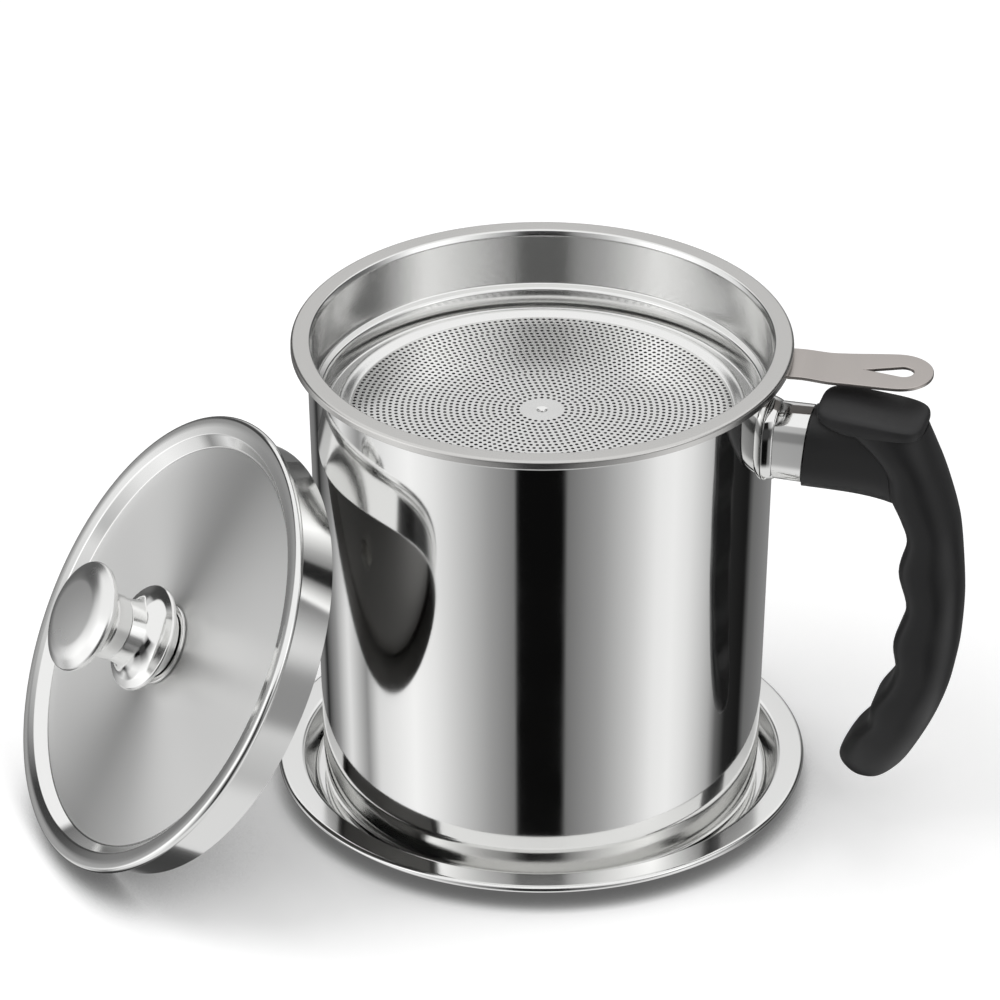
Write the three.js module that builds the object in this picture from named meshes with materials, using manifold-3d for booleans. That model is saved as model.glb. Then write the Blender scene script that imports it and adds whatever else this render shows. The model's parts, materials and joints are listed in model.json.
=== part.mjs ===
// Bacon grease container: a steel pot with a side handle stands in a tray, a strainer cup hangs in its rim,
// and its lid leans against the wall. Millimetres, +Z up, the handle towards +X, the tray's foot on z = 0.

import * as THREE from 'three';
import { mergeVertices } from 'three/addons/utils/BufferGeometryUtils.js';
import Module from 'manifold-3d';

const wasm = await Module();
wasm.setup();

// Fits between pieces
const seatGap = 0.3;            // between pieces that rest on each other or are pressed together
const nestGap = 0.5;            // between the strainer's wall and the pot's
const leanGap = 2.5;            // between the leaning lid's skirt and the pot's wall, under the rim
const threadGap = 0.2;          // around a screw in its hole
const cutOverrun = 3;           // how far a cutting shape runs past what it cuts

// Pot
const potFootRadius = 57.4;     // outside, where the wall starts
const potRimRadius = 60.8;      // outside, under the rolled rim
const potHeight = 128.6;        // from its underside to the top of the rolled rim
const potSheet = 0.6;
const potCornerRadius = 5;      // outside radius of the bottom corner
const rimRollRadius = 1.3;      // outside radius of the rolled edge
const rimFlare = 0.4;           // how far the wall opens out below the roll
const rimFlareHeight = 2.4;

// Tray
const traySheet = 0.6;
const trayWellPlay = 2.4;       // the well's floor is this much wider than the pot's foot, all round
const trayWellSlope = 3.2;      // how far the well's side leans out
const trayHeight = 7;
const trayFlangeWidth = 7.2;
const trayLipDepth = 1.6;
const trayLipLean = 0.3;
const trayWellBend = 1.8;
const trayFlangeBend = 1.2;
const trayLipBend = 0.7;

// Strainer cup
const strainerSheet = 0.6;
const strainerStepDepth = 16;   // from the flange's top to the step
const strainerDepth = 21;       // from the flange's top to the plate's top
const strainerStepWidth = 3.2;  // how far the step comes in
const strainerLedgeWidth = 4.6; // the ring that carries the plate
const flangeLipPlay = 0.6;      // between the lip and the pot's rolled rim
const flangeLipDepth = 3;
const flangeLipBend = 1.1;
const flangeBend = 1.8;
const strainerStepBend = 1.3;
const strainerLedgeBend = 1;

// Strainer plate
const plateSheet = 0.6;
const plateEdgeHeight = 1.4;
const plateEdgeBend = 1;
const plateHoleRadius = 0.8;
const plateHolePitch = 10;
const plateMargin = 7.5;        // plain band around the holes
const plateCentreRadius = 5.6;  // plain disc in the middle
const plateHoleGrowth = 6;      // each ring has this many more holes than the one inside it

// Lifting tab
const tabTurn = THREE.MathUtils.degToRad(7.7);
const tabSheet = 1;
const tabLength = 37.2;
const tabRootWidth = 15.2;
const tabWidth = 18.4;
const tabSlotLength = 12.8;
const tabSlotWidth = 5.4;
const tabSlotInset = 5.1;       // from the slot's round end to the tab's tip

// Handle's mount on the wall
const thumbRoom = 4.6;          // between the lifting tab and the thumb pad under it
const ferruleLength = 10.2;
const ferruleSheet = 0.8;
const ferruleWidth = 12;
const ferruleTall = 17.6;
const ferruleGrowth = 0.9;      // how much wider and taller the sleeve is at the grip
const ferruleCorner = 3;
const ferruleBaseThickness = 1.4;
const ferruleBaseBorder = 2.1;
const bracketPlay = 0.4;        // between the bracket's plate and the sleeve around it
const bracketThickness = 1.2;
const bracketBossRadius = 4.4;

// Handle screw and washer
const handleScrewRadius = 2.2;
const handleScrewHeadRadius = 4;
const handleScrewHeadHeight = 2.6;
const handleScrewGrip = 6;      // length of thread inside the boss
const handleWasherRadius = 4.3;
const handleWasherThickness = 1;
const socketRadius = 1.9;
const socketDepth = 1.4;

// Grip
const gripReach = 52.7;         // from the wall to the grip's back
const gripHeight = 103.9;       // from its toe to the seat under the thumb pad
const gripWidth = 19.6;
const gripSeatRise = 6.5;       // of that seat above the handle screw
const armWidth = 13;
const armTall = 19.2;
const armCorner = 3.2;
const armLength = 23.4;
const armHaunch = 5.4;          // how far the arm's underside falls to the crotch
const recessInset = 12.6;       // from the arm's front face to the screw's recess
const recessLength = 18;
const recessWidth = 9.4;
const recessDepth = 11.5;

// Thumb pad
const padHeight = 4.2;
const padFall = 1.5;            // how much lower its far end is
const padLength = 28;
const padWidth = 19.4;
const padCorner = 6.5;
const padUndercut = 5.6;        // how far its foot stays behind its nose
const padEdge = 1.7;            // inset of the rounded top edge

// Lid
const lidRadius = 61.8;
const lidSheet = 0.6;
const lidHemRadius = 1.2;       // outside radius of the folded edge
const lidSkirtInset = 3;        // from the folded edge to the skirt's outside
const lidSkirtDepth = 12.3;     // from the folded edge's middle to the skirt's end
const lidSkirtTaper = 0.3;
const lidStepWidth = 5;         // from the folded edge to the inner slope
const lidSlopeWidth = 2.6;
const lidSink = 2.6;            // from the folded edge's top to the disc's edge
const lidCrown = 0.5;           // how much higher the disc's middle is
const lidSkirtBend = 1;
const lidSlopeBend = 0.9;
const lidTilt = THREE.MathUtils.degToRad(58.6);
const lidBearing = THREE.MathUtils.degToRad(-148.2);
const lidTurn = THREE.MathUtils.degToRad(5);

// Knob
const knobBaseRadius = 10.8;
const knobBaseThickness = 0.8;
const collarDrumRadius = 9.5;
const collarDrumHeight = 4;
const collarLipRadius = 14.2;
const collarLipThickness = 1.2;
const collarHeight = 13.6;
const collarTopRadius = 8.1;
const neckHeight = 8.4;
const neckRootRadius = 8.5;
const neckTopRadius = 13.4;
const capRadius = 15;
const capBackRadius = 14.2;
const capEdgeHeight = 1.8;      // from the cap's back to its widest
const capHeight = 4.8;
const capThreadDepth = 2.6;
const knobScrewRadius = 2;
const knobScrewHeadRadius = 4.2;
const knobScrewHeadHeight = 2;
const knobWasherRadius = 5.6;
const knobWasherThickness = 0.8;

// Fineness of round stretches
const roundSides = 48;
const knobSides = 28;
const smallSides = 16;
const holeSides = 5;
const socketSides = 6;
const bendStep = Math.PI / 4;
const cornerSteps = 4;          // in each corner of a section
const gripRings = 30;
const armRows = 6;
const tabCurveSteps = 10;
const collarCurveSteps = 7;
const neckCurveSteps = 6;
const capCurveSteps = 8;

// Shapes of the grip and the thumb pad, as shares of their reach, height, length and width
const gripBackShares = [
  [0.82, 1], [0.86, 0.96], [0.9, 0.9], [0.94, 0.84], [0.97, 0.78], [0.98, 0.73], [1, 0.64], [1, 0.54],
  [0.98, 0.42], [0.94, 0.32], [0.86, 0.2], [0.76, 0.1], [0.68, 0.03], [0.57, 0], [0.48, 0], [0.42, 0.02],
];
const gripFrontShares = [
  [0.4, 1], [0.52, 0.96], [0.6, 0.91], [0.63, 0.84], [0.65, 0.79], [0.68, 0.73], [0.66, 0.61], [0.7, 0.51],
  [0.64, 0.4], [0.65, 0.32], [0.54, 0.23], [0.53, 0.17], [0.47, 0.13], [0.44, 0.11], [0.41, 0.08],
  [0.39, 0.05],
];
const gripWidthShares = [0.98, 1, 1, 1, 1, 1, 1, 1, 1, 0.98, 0.95, 0.9, 0.82, 0.72, 0.56, 0.34];
const gripRoundShare = 0.78;    // corner radius of a section, of its smaller half
const padRowShares = [          // height, undercut that is left, edge that is rounded off
  [0, 1, 0.2], [0.4, 0.45, 0], [0.76, 0.08, 0.12], [0.93, 0, 0.5], [1, 0, 1],
];

// Materials
function steel(color, roughness) {
  return new THREE.MeshStandardMaterial({ color, roughness, metalness: 1 });
}

function blackPlastic(color, roughness) {
  return new THREE.MeshStandardMaterial({ color, roughness, metalness: 0 });
}

// Solids: a closed geometry becomes one that can be joined and cut, and comes back as a geometry
function closedGeometry(source) {
  const bare = source.clone();
  bare.deleteAttribute('normal');
  bare.deleteAttribute('uv');
  const merged = mergeVertices(bare);
  const corners = merged.index.array;
  const index = [];
  for (let i = 0; i < corners.length; i += 3) {
    const [a, b, c] = corners.slice(i, i + 3);
    if (a !== b && b !== c && c !== a) {
      index.push(a, b, c);
    }
  }
  merged.setIndex(index);
  return merged;
}

function signedVolume(geometry) {
  const place = geometry.getAttribute('position');
  const index = geometry.index.array;
  const [a, b, c] = [new THREE.Vector3(), new THREE.Vector3(), new THREE.Vector3()];
  let volume = 0;
  for (let i = 0; i < index.length; i += 3) {
    a.fromBufferAttribute(place, index[i]);
    b.fromBufferAttribute(place, index[i + 1]);
    c.fromBufferAttribute(place, index[i + 2]);
    volume += a.dot(b.cross(c));
  }
  return volume;
}

function solidOf(source) {
  const geometry = closedGeometry(source);
  const triVerts = new Uint32Array(geometry.index.array);
  if (signedVolume(geometry) < 0) {
    triVerts.reverse();
  }
  const vertProperties = new Float32Array(geometry.getAttribute('position').array);
  return new wasm.Manifold(new wasm.Mesh({ numProp: 3, vertProperties, triVerts }));
}

function geometryOf(solid) {
  const { vertProperties, triVerts } = solid.getMesh();
  const geometry = new THREE.BufferGeometry();
  geometry.setAttribute('position', new THREE.BufferAttribute(vertProperties, 3));
  geometry.setIndex(new THREE.BufferAttribute(triVerts, 1));
  const faceted = geometry.toNonIndexed();
  faceted.computeVertexNormals();
  return faceted;
}

function piece(name, solid, material) {
  const mesh = new THREE.Mesh(geometryOf(solid), material);
  mesh.name = name;
  return mesh;
}

// Turned and spun shapes: an outline of [radius, height] points goes round the Z axis
function spin(outline, sides = roundSides) {
  const points = outline.map(([radius, height]) => new THREE.Vector2(radius, height));
  const first = points[0];
  const last = points[points.length - 1];
  if (first.x > 0 || last.x > 0) {
    points.push(first.clone());
  }
  const lathe = new THREE.LatheGeometry(points, sides);
  lathe.rotateX(Math.PI / 2);
  return solidOf(lathe);
}

function ring(inner, outer, bottom, top, sides = roundSides) {
  return spin([[inner, bottom], [outer, bottom], [outer, top], [inner, top]], sides);
}

function rod(radius, bottom, top, sides = smallSides) {
  return spin([[0, bottom], [radius, bottom], [radius, top], [0, top]], sides);
}

// A solid about the Z axis is laid along X, at the height of the handle screw
function alongHandle(solid) {
  const geometry = geometryOf(solid);
  geometry.rotateY(Math.PI / 2);
  geometry.translate(0, 0, handleHeight);
  return solidOf(geometry);
}

function arc(centreRadius, centreHeight, radius, from, to) {
  const steps = Math.ceil(Math.abs(to - from) / bendStep);
  const points = [];
  for (let i = 0; i <= steps; i += 1) {
    const angle = from + (to - from) * i / steps;
    points.push([centreRadius + radius * Math.cos(angle), centreHeight + radius * Math.sin(angle)]);
  }
  return points;
}

// Bent sheet: the middle line is given by its corners, each [radius, height, bend radius]
function bentLine(corners) {
  const points = [];
  corners.forEach(([x, y, bend = 0], i) => {
    if (bend === 0) {
      points.push(new THREE.Vector2(x, y));
      return;
    }
    const corner = new THREE.Vector2(x, y);
    const back = new THREE.Vector2(...corners[i - 1].slice(0, 2)).sub(corner).normalize();
    const ahead = new THREE.Vector2(...corners[i + 1].slice(0, 2)).sub(corner).normalize();
    const half = Math.acos(THREE.MathUtils.clamp(back.dot(ahead), -1, 1)) / 2;
    const centre = back.clone().add(ahead).setLength(bend / Math.sin(half)).add(corner);
    const start = back.clone().multiplyScalar(bend / Math.tan(half)).add(corner).sub(centre);
    const turn = Math.PI - 2 * half;
    const way = back.cross(ahead) > 0 ? -1 : 1;
    const steps = Math.max(2, Math.ceil(turn / bendStep));
    for (let step = 0; step <= steps; step += 1) {
      const spoke = start.clone().rotateAround(new THREE.Vector2(), way * turn * step / steps);
      points.push(spoke.add(centre));
    }
  });
  return points;
}

// The outline of a sheet around its middle line
function sheetOutline(line, sheet) {
  const leftSide = [];
  const rightSide = [];
  line.forEach((point, i) => {
    const before = line[Math.max(i - 1, 0)];
    const after = line[Math.min(i + 1, line.length - 1)];
    const into = point.clone().sub(before).normalize();
    const out = after.clone().sub(point).normalize();
    const along = into.clone().add(out).normalize();
    const reach = i > 0 && i < line.length - 1 ? sheet / 2 / along.dot(out) : sheet / 2;
    leftSide.push([point.x - along.y * reach, point.y + along.x * reach]);
    rightSide.push([point.x + along.y * reach, point.y - along.x * reach]);
  });
  return [...leftSide, ...rightSide.reverse()];
}

function spunSheet(corners, sheet) {
  return spin(sheetOutline(bentLine(corners), sheet));
}

// Sections: a rounded rectangle as points, laid into space, and a body through a row of them
function roundedSection(halfWidth, halfHeight, corner) {
  const points = [];
  for (let quarter = 0; quarter < 4; quarter += 1) {
    const signX = quarter === 0 || quarter === 3 ? 1 : -1;
    const signY = quarter < 2 ? 1 : -1;
    for (let step = 0; step <= cornerSteps; step += 1) {
      const angle = (quarter + step / cornerSteps) * Math.PI / 2;
      points.push([
        signX * (halfWidth - corner) + corner * Math.cos(angle),
        signY * (halfHeight - corner) + corner * Math.sin(angle),
      ]);
    }
  }
  return points;
}

function loft(sections) {
  const count = sections[0].length;
  const positions = sections.flat().flatMap((point) => point.toArray());
  const index = [];
  for (let row = 0; row + 1 < sections.length; row += 1) {
    for (let i = 0; i < count; i += 1) {
      const a = row * count + i;
      const b = row * count + (i + 1) % count;
      index.push(a, b, b + count, a, b + count, a + count);
    }
  }
  const lastRow = (sections.length - 1) * count;
  for (let i = 1; i + 1 < count; i += 1) {
    index.push(0, i + 1, i);
    index.push(lastRow, lastRow + i, lastRow + i + 1);
  }
  const geometry = new THREE.BufferGeometry();
  geometry.setAttribute('position', new THREE.Float32BufferAttribute(positions, 3));
  geometry.setIndex(index);
  return solidOf(geometry);
}

// A rounded rectangle across X, between two heights
function crossSection(x, width, bottom, top, corner) {
  const middle = (bottom + top) / 2;
  return roundedSection(width / 2, (top - bottom) / 2, corner).map(
    ([across, up]) => new THREE.Vector3(x, across, middle + up),
  );
}

// Heights and radii that several pieces follow
const potFloor = traySheet + seatGap;
const rimTop = potFloor + potHeight;
const wallTop = rimTop - rimRollRadius - rimFlareHeight;
const rimRollCentre = potRimRadius + rimFlare + rimRollRadius;
const flangeUnder = rimTop + seatGap;
const strainerTop = flangeUnder + strainerSheet;

function wallRadius(height) {
  const share = (height - potFloor) / (wallTop - potFloor);
  return potFootRadius + (potRimRadius - potFootRadius) * share;
}

// The pot's outside, grown by a gap, to cut what hugs the wall
function wallBody(gap) {
  const bottom = potFloor - cutOverrun;
  return spin([
    [0, bottom],
    [wallRadius(bottom) + gap, bottom],
    [wallRadius(rimTop) + gap, rimTop],
    [0, rimTop],
  ]);
}

function makeTray() {
  const floorHeight = traySheet / 2;
  const flangeHeight = trayHeight - traySheet / 2;
  const wellRadius = potFootRadius + trayWellPlay;
  const flangeInner = wellRadius + trayWellSlope;
  const edge = flangeInner + trayFlangeWidth - traySheet / 2;
  return spunSheet([
    [0, floorHeight],
    [wellRadius, floorHeight, trayWellBend],
    [flangeInner, flangeHeight, trayFlangeBend],
    [edge, flangeHeight, trayLipBend],
    [edge - trayLipLean, trayHeight - trayLipDepth],
  ], traySheet);
}

function makePot() {
  const half = potSheet / 2;
  const rollHeight = rimTop - rimRollRadius;
  const rollRadius = rimRollRadius - half;
  const line = bentLine([
    [0, potFloor + half],
    [potFootRadius - half, potFloor + half, potCornerRadius - half],
    [potRimRadius - half, wallTop],
    [rimRollCentre - rollRadius, rollHeight],
  ]);
  const roll = arc(rimRollCentre, rollHeight, rollRadius, Math.PI, -Math.PI / 2).slice(1);
  line.push(...roll.map(([radius, height]) => new THREE.Vector2(radius, height)));
  return spin(sheetOutline(line, potSheet));
}

// The strainer's middle line follows the pot's wall inside, and its lip laps over the rolled rim outside
const strainerWallTop = strainerTop - flangeBend;
const strainerStep = strainerTop - strainerStepDepth;
const strainerInset = potSheet + nestGap + strainerSheet / 2;
const lowerWallRadius = wallRadius(strainerStep) - strainerInset - strainerStepWidth;
const plateTop = strainerTop - strainerDepth;
const ledgeHeight = plateTop - plateSheet - seatGap - strainerSheet / 2;
const lipRadius = rimRollCentre + rimRollRadius + flangeLipPlay + strainerSheet / 2;
const lipEnd = strainerTop - flangeLipDepth;
const tabUnder = lipEnd - seatGap - tabSheet;

function makeStrainerCup() {
  const flangeHeight = strainerTop - strainerSheet / 2;
  return spunSheet([
    [lipRadius, lipEnd],
    [lipRadius, flangeHeight, flangeLipBend],
    [wallRadius(strainerWallTop) - strainerInset, flangeHeight, flangeBend],
    [wallRadius(strainerStep) - strainerInset, strainerStep, strainerStepBend],
    [lowerWallRadius, strainerStep, strainerStepBend],
    [lowerWallRadius, ledgeHeight, strainerLedgeBend],
    [lowerWallRadius - strainerLedgeWidth, ledgeHeight],
  ], strainerSheet);
}

// The plate's holes lie in rings
function makeStrainerPlate() {
  const edge = lowerWallRadius - strainerSheet / 2 - seatGap - plateSheet / 2;
  const height = plateTop - plateSheet / 2;
  const blank = spunSheet([
    [0, height],
    [edge, height, plateEdgeBend],
    [edge, plateTop + plateEdgeHeight],
  ], plateSheet);
  const firstRing = plateCentreRadius + plateHoleRadius + plateHolePitch / 2;
  const lastRing = edge - plateMargin;
  const drills = [];
  for (let radius = firstRing, row = 1; radius <= lastRing; radius += plateHolePitch, row += 1) {
    const count = plateHoleGrowth * (row + 1);
    for (let i = 0; i < count; i += 1) {
      const angle = 2 * Math.PI * i / count;
      const drill = new THREE.CylinderGeometry(
        plateHoleRadius, plateHoleRadius, plateSheet + 2 * cutOverrun, holeSides,
      );
      drill.rotateX(Math.PI / 2);
      drill.translate(radius * Math.cos(angle), radius * Math.sin(angle), height);
      drills.push(solidOf(drill));
    }
  }
  return drills.reduce((plate, drill) => plate.subtract(drill), blank);
}

// A teardrop: a point towards the pot and a round end towards the tip
function teardrop(tip, length, width) {
  const path = new THREE.Path();
  const radius = width / 2;
  const centre = tip - radius;
  const point = tip - length;
  const lean = Math.asin(radius / (centre - point));
  path.moveTo(point, 0);
  path.absarc(centre, 0, radius, -Math.PI / 2 - lean, Math.PI / 2 + lean, false);
  path.closePath();
  return path;
}

function makeStrainerTab() {
  const root = rimRollCentre + rimRollRadius + seatGap;
  const tip = root + tabLength;
  const roundCentre = tip - tabWidth / 2;
  const shape = new THREE.Shape();
  shape.moveTo(root, -tabRootWidth / 2);
  shape.bezierCurveTo(
    root + tabRootWidth / 2, -tabRootWidth / 2,
    roundCentre - tabWidth / 2, -tabWidth / 2,
    roundCentre, -tabWidth / 2,
  );
  shape.absarc(roundCentre, 0, tabWidth / 2, -Math.PI / 2, Math.PI / 2, false);
  shape.bezierCurveTo(
    roundCentre - tabWidth / 2, tabWidth / 2,
    root + tabRootWidth / 2, tabRootWidth / 2,
    root, tabRootWidth / 2,
  );
  shape.closePath();
  shape.holes.push(teardrop(tip - tabSlotInset, tabSlotLength, tabSlotWidth));
  const plate = new THREE.ExtrudeGeometry(shape, {
    depth: tabSheet, bevelEnabled: false, curveSegments: tabCurveSteps,
  });
  plate.translate(0, 0, tabUnder);
  return solidOf(plate);
}

// The handle hangs below the lifting tab; its places run from the pot's wall outwards
const handleHeight = tabUnder - thumbRoom - padHeight - seatGap - gripSeatRise;
const handleFoot = wallRadius(handleHeight);
const ferruleEnd = handleFoot + seatGap + ferruleLength;
const armStart = ferruleEnd + seatGap;
const recessStart = armStart + recessInset;
const gripSeat = handleHeight + gripSeatRise;

function sleeveSection(x, width, tall, corner) {
  return crossSection(x, width, handleHeight - tall / 2, handleHeight + tall / 2, corner);
}

function makeFerrule() {
  const inside = handleFoot - cutOverrun;
  const inner = ferruleCorner - ferruleSheet;
  const endWidth = ferruleWidth + ferruleGrowth;
  const endTall = ferruleTall + ferruleGrowth;
  const baseWidth = ferruleWidth + 2 * ferruleBaseBorder;
  const baseTall = ferruleTall + 2 * ferruleBaseBorder;
  const baseCorner = ferruleCorner + ferruleBaseBorder;
  const base = loft([
    sleeveSection(inside, baseWidth, baseTall, baseCorner),
    sleeveSection(ferruleEnd, baseWidth, baseTall, baseCorner),
  ]).intersect(wallBody(seatGap + ferruleBaseThickness));
  const sleeve = loft([
    sleeveSection(inside, ferruleWidth, ferruleTall, ferruleCorner),
    sleeveSection(ferruleEnd, endWidth, endTall, ferruleCorner),
  ]);
  const hollow = loft([
    sleeveSection(
      inside - cutOverrun, ferruleWidth - 2 * ferruleSheet, ferruleTall - 2 * ferruleSheet, inner,
    ),
    sleeveSection(
      ferruleEnd + cutOverrun, endWidth - 2 * ferruleSheet, endTall - 2 * ferruleSheet, inner,
    ),
  ]);
  return base.add(sleeve).subtract(wallBody(seatGap)).subtract(hollow);
}

function makeHandleBracket() {
  const inside = handleFoot - cutOverrun;
  const plateWidth = ferruleWidth - 2 * (ferruleSheet + bracketPlay);
  const plateTall = ferruleTall - 2 * (ferruleSheet + bracketPlay);
  const plateCorner = ferruleCorner - ferruleSheet - bracketPlay;
  const plate = loft([
    sleeveSection(inside, plateWidth, plateTall, plateCorner),
    sleeveSection(ferruleEnd, plateWidth, plateTall, plateCorner),
  ]).intersect(wallBody(seatGap + bracketThickness));
  const boss = alongHandle(rod(bracketBossRadius, inside, ferruleEnd));
  const bore = alongHandle(rod(
    handleScrewRadius + threadGap, inside - cutOverrun, ferruleEnd + cutOverrun,
  ));
  return plate.add(boss).subtract(wallBody(seatGap)).subtract(bore);
}

function makeHandleWasher() {
  const start = recessStart + seatGap;
  const washer = ring(
    handleScrewRadius + threadGap, handleWasherRadius, start, start + handleWasherThickness, smallSides,
  );
  return alongHandle(washer);
}

function makeHandleScrew() {
  const headStart = recessStart + handleWasherThickness + 2 * seatGap;
  const headEnd = headStart + handleScrewHeadHeight;
  const shank = rod(handleScrewRadius, ferruleEnd - handleScrewGrip, headStart + handleScrewHeadHeight / 2);
  const head = rod(handleScrewHeadRadius, headStart, headEnd);
  const socket = rod(socketRadius, headEnd - socketDepth, headEnd + cutOverrun, socketSides);
  return alongHandle(shank.add(head).subtract(socket));
}

// The grip's body runs through sections, each between a point of its back and one of its front
function gripPoint([reach, height]) {
  return new THREE.Vector3(
    handleFoot + gripReach * reach, 0, gripSeat - gripHeight + gripHeight * height,
  );
}

function makeGripBody() {
  const backCurve = new THREE.CatmullRomCurve3(gripBackShares.map(gripPoint));
  const frontCurve = new THREE.CatmullRomCurve3(gripFrontShares.map(gripPoint));
  const widthCurve = new THREE.SplineCurve(gripWidthShares.map((share, i) => new THREE.Vector2(i, share)));
  const sections = [];
  for (let row = 0; row <= gripRings; row += 1) {
    const back = backCurve.getPoint(row / gripRings);
    const front = frontCurve.getPoint(row / gripRings);
    const middle = back.clone().add(front).divideScalar(2);
    const towardsBack = back.clone().sub(middle);
    const halfDepth = towardsBack.length();
    const halfWidth = gripWidth * widthCurve.getPoint(row / gripRings).y / 2;
    const corner = gripRoundShare * Math.min(halfDepth, halfWidth);
    towardsBack.normalize();
    sections.push(roundedSection(halfDepth, halfWidth, corner).map(([deep, across]) => (
      middle.clone().addScaledVector(towardsBack, deep).setY(across)
    )));
  }
  return loft(sections);
}

function makeGripArm() {
  const sections = [];
  for (let row = 0; row <= armRows; row += 1) {
    const share = row / armRows;
    const bottom = handleHeight - armTall / 2 - armHaunch * share * share;
    sections.push(crossSection(
      armStart + armLength * share, armWidth, bottom, handleHeight + armTall / 2, armCorner,
    ));
  }
  return loft(sections);
}

// The thumb pad from its seat up, grown all round by a gap when it cuts its own seat
function padBody(gap) {
  const nose = handleFoot + gripReach * gripBackShares[0][0] - padLength;
  return loft(padRowShares.map(([rise, undercut, rounding]) => {
    const start = nose + padUndercut * undercut + padEdge * rounding - gap;
    const end = nose + padLength - padEdge * rounding + gap;
    const halfWidth = padWidth / 2 - padEdge * rounding + gap;
    const height = gripSeat + seatGap - gap + (padHeight + gap) * rise;
    return roundedSection((end - start) / 2, halfWidth, padCorner).map(([along, across]) => {
      const x = (start + end) / 2 + along;
      const fall = padFall * rise * (x - nose) / padLength;
      return new THREE.Vector3(x, across, height - fall);
    });
  }));
}

function makeHandleGrip() {
  const recess = new THREE.BoxGeometry(recessLength, recessWidth, recessDepth + cutOverrun);
  recess.translate(
    recessStart + recessLength / 2, 0, gripSeat - recessDepth + (recessDepth + cutOverrun) / 2,
  );
  const bore = alongHandle(rod(
    handleScrewRadius + threadGap, ferruleEnd - cutOverrun, recessStart + cutOverrun,
  ));
  return makeGripBody().add(makeGripArm())
    .subtract(padBody(seatGap))
    .subtract(solidOf(recess))
    .subtract(bore);
}

// Heights in the lid's own frame, from the middle of its folded edge
const hemLine = lidHemRadius - lidSheet / 2;
const lidDiscEdge = lidHemRadius - lidSink;
const lidDiscTop = lidDiscEdge + lidCrown;
const lidScrewHole = knobScrewRadius + threadGap;
const knobBaseStart = lidDiscTop + seatGap;
const collarStart = knobBaseStart + knobBaseThickness + seatGap;
const collarEnd = collarStart + collarHeight;
const neckStart = collarEnd + seatGap;
const capStart = neckStart + neckHeight + seatGap;

function makeLidShell() {
  const half = lidSheet / 2;
  const slopeTop = lidRadius - lidStepWidth;
  const skirtTop = lidRadius - lidSkirtInset - half;
  const disc = bentLine([
    [lidScrewHole, lidDiscTop - half],
    [slopeTop - lidSlopeWidth, lidDiscEdge - half, lidSlopeBend],
    [slopeTop, hemLine, lidSlopeBend],
    [lidRadius - lidHemRadius, hemLine],
  ]);
  const hem = arc(lidRadius - lidHemRadius, 0, hemLine, Math.PI / 2, -Math.PI / 2).slice(1);
  const skirt = bentLine([
    [lidRadius - lidHemRadius, -hemLine],
    [skirtTop, -hemLine, lidSkirtBend],
    [skirtTop - lidSkirtTaper, -lidSkirtDepth],
  ]).slice(1);
  const line = [...disc, ...hem.map(([radius, height]) => new THREE.Vector2(radius, height)), ...skirt];
  return spin(sheetOutline(line, lidSheet));
}

function curvePoints(start, control, end, steps) {
  const curve = new THREE.QuadraticBezierCurve(
    new THREE.Vector2(...start), new THREE.Vector2(...control), new THREE.Vector2(...end),
  );
  return curve.getPoints(steps).map((point) => [point.x, point.y]);
}

function makeKnobBase() {
  const end = knobBaseStart + knobBaseThickness;
  return ring(lidScrewHole, knobBaseRadius, knobBaseStart, end, knobSides);
}

function makeKnobCollar() {
  const lipStart = collarStart + collarDrumHeight;
  const lipEndHeight = lipStart + collarLipThickness;
  return spin([
    [lidScrewHole, collarStart],
    [collarDrumRadius, collarStart],
    [collarDrumRadius, lipStart],
    ...arc(collarLipRadius - collarLipThickness / 2, lipStart + collarLipThickness / 2,
      collarLipThickness / 2, -Math.PI / 2, Math.PI / 2),
    ...curvePoints(
      [collarLipRadius - collarLipThickness, lipEndHeight],
      [collarTopRadius, lipEndHeight],
      [collarTopRadius, collarEnd],
      collarCurveSteps,
    ),
    [lidScrewHole, collarEnd],
  ], knobSides);
}

function makeKnobNeck() {
  const end = neckStart + neckHeight;
  return spin([
    [lidScrewHole, neckStart],
    ...curvePoints(
      [neckRootRadius, neckStart], [neckRootRadius, end], [neckTopRadius, end], neckCurveSteps,
    ),
    [lidScrewHole, end],
  ], knobSides);
}

function makeKnobCap() {
  const edge = capStart + capEdgeHeight;
  const crown = capStart + capHeight;
  const threadEnd = capStart + capThreadDepth;
  return spin([
    [0, threadEnd],
    [lidScrewHole, threadEnd],
    [lidScrewHole, capStart],
    [capBackRadius, capStart],
    ...curvePoints([capRadius, edge], [capRadius, crown], [0, crown], capCurveSteps),
  ], knobSides);
}

function makeKnobWasher() {
  const top = lidDiscTop - lidSheet - seatGap;
  return ring(lidScrewHole, knobWasherRadius, top - knobWasherThickness, top, smallSides);
}

function makeKnobScrew() {
  const headTop = lidDiscTop - lidSheet - knobWasherThickness - 2 * seatGap;
  return spin([
    [0, headTop - knobScrewHeadHeight],
    [knobScrewHeadRadius, headTop - knobScrewHeadHeight],
    [knobScrewHeadRadius, headTop],
    [knobScrewRadius, headTop],
    [knobScrewRadius, capStart + capThreadDepth - seatGap],
    [0, capStart + capThreadDepth - seatGap],
  ], smallSides);
}

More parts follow.
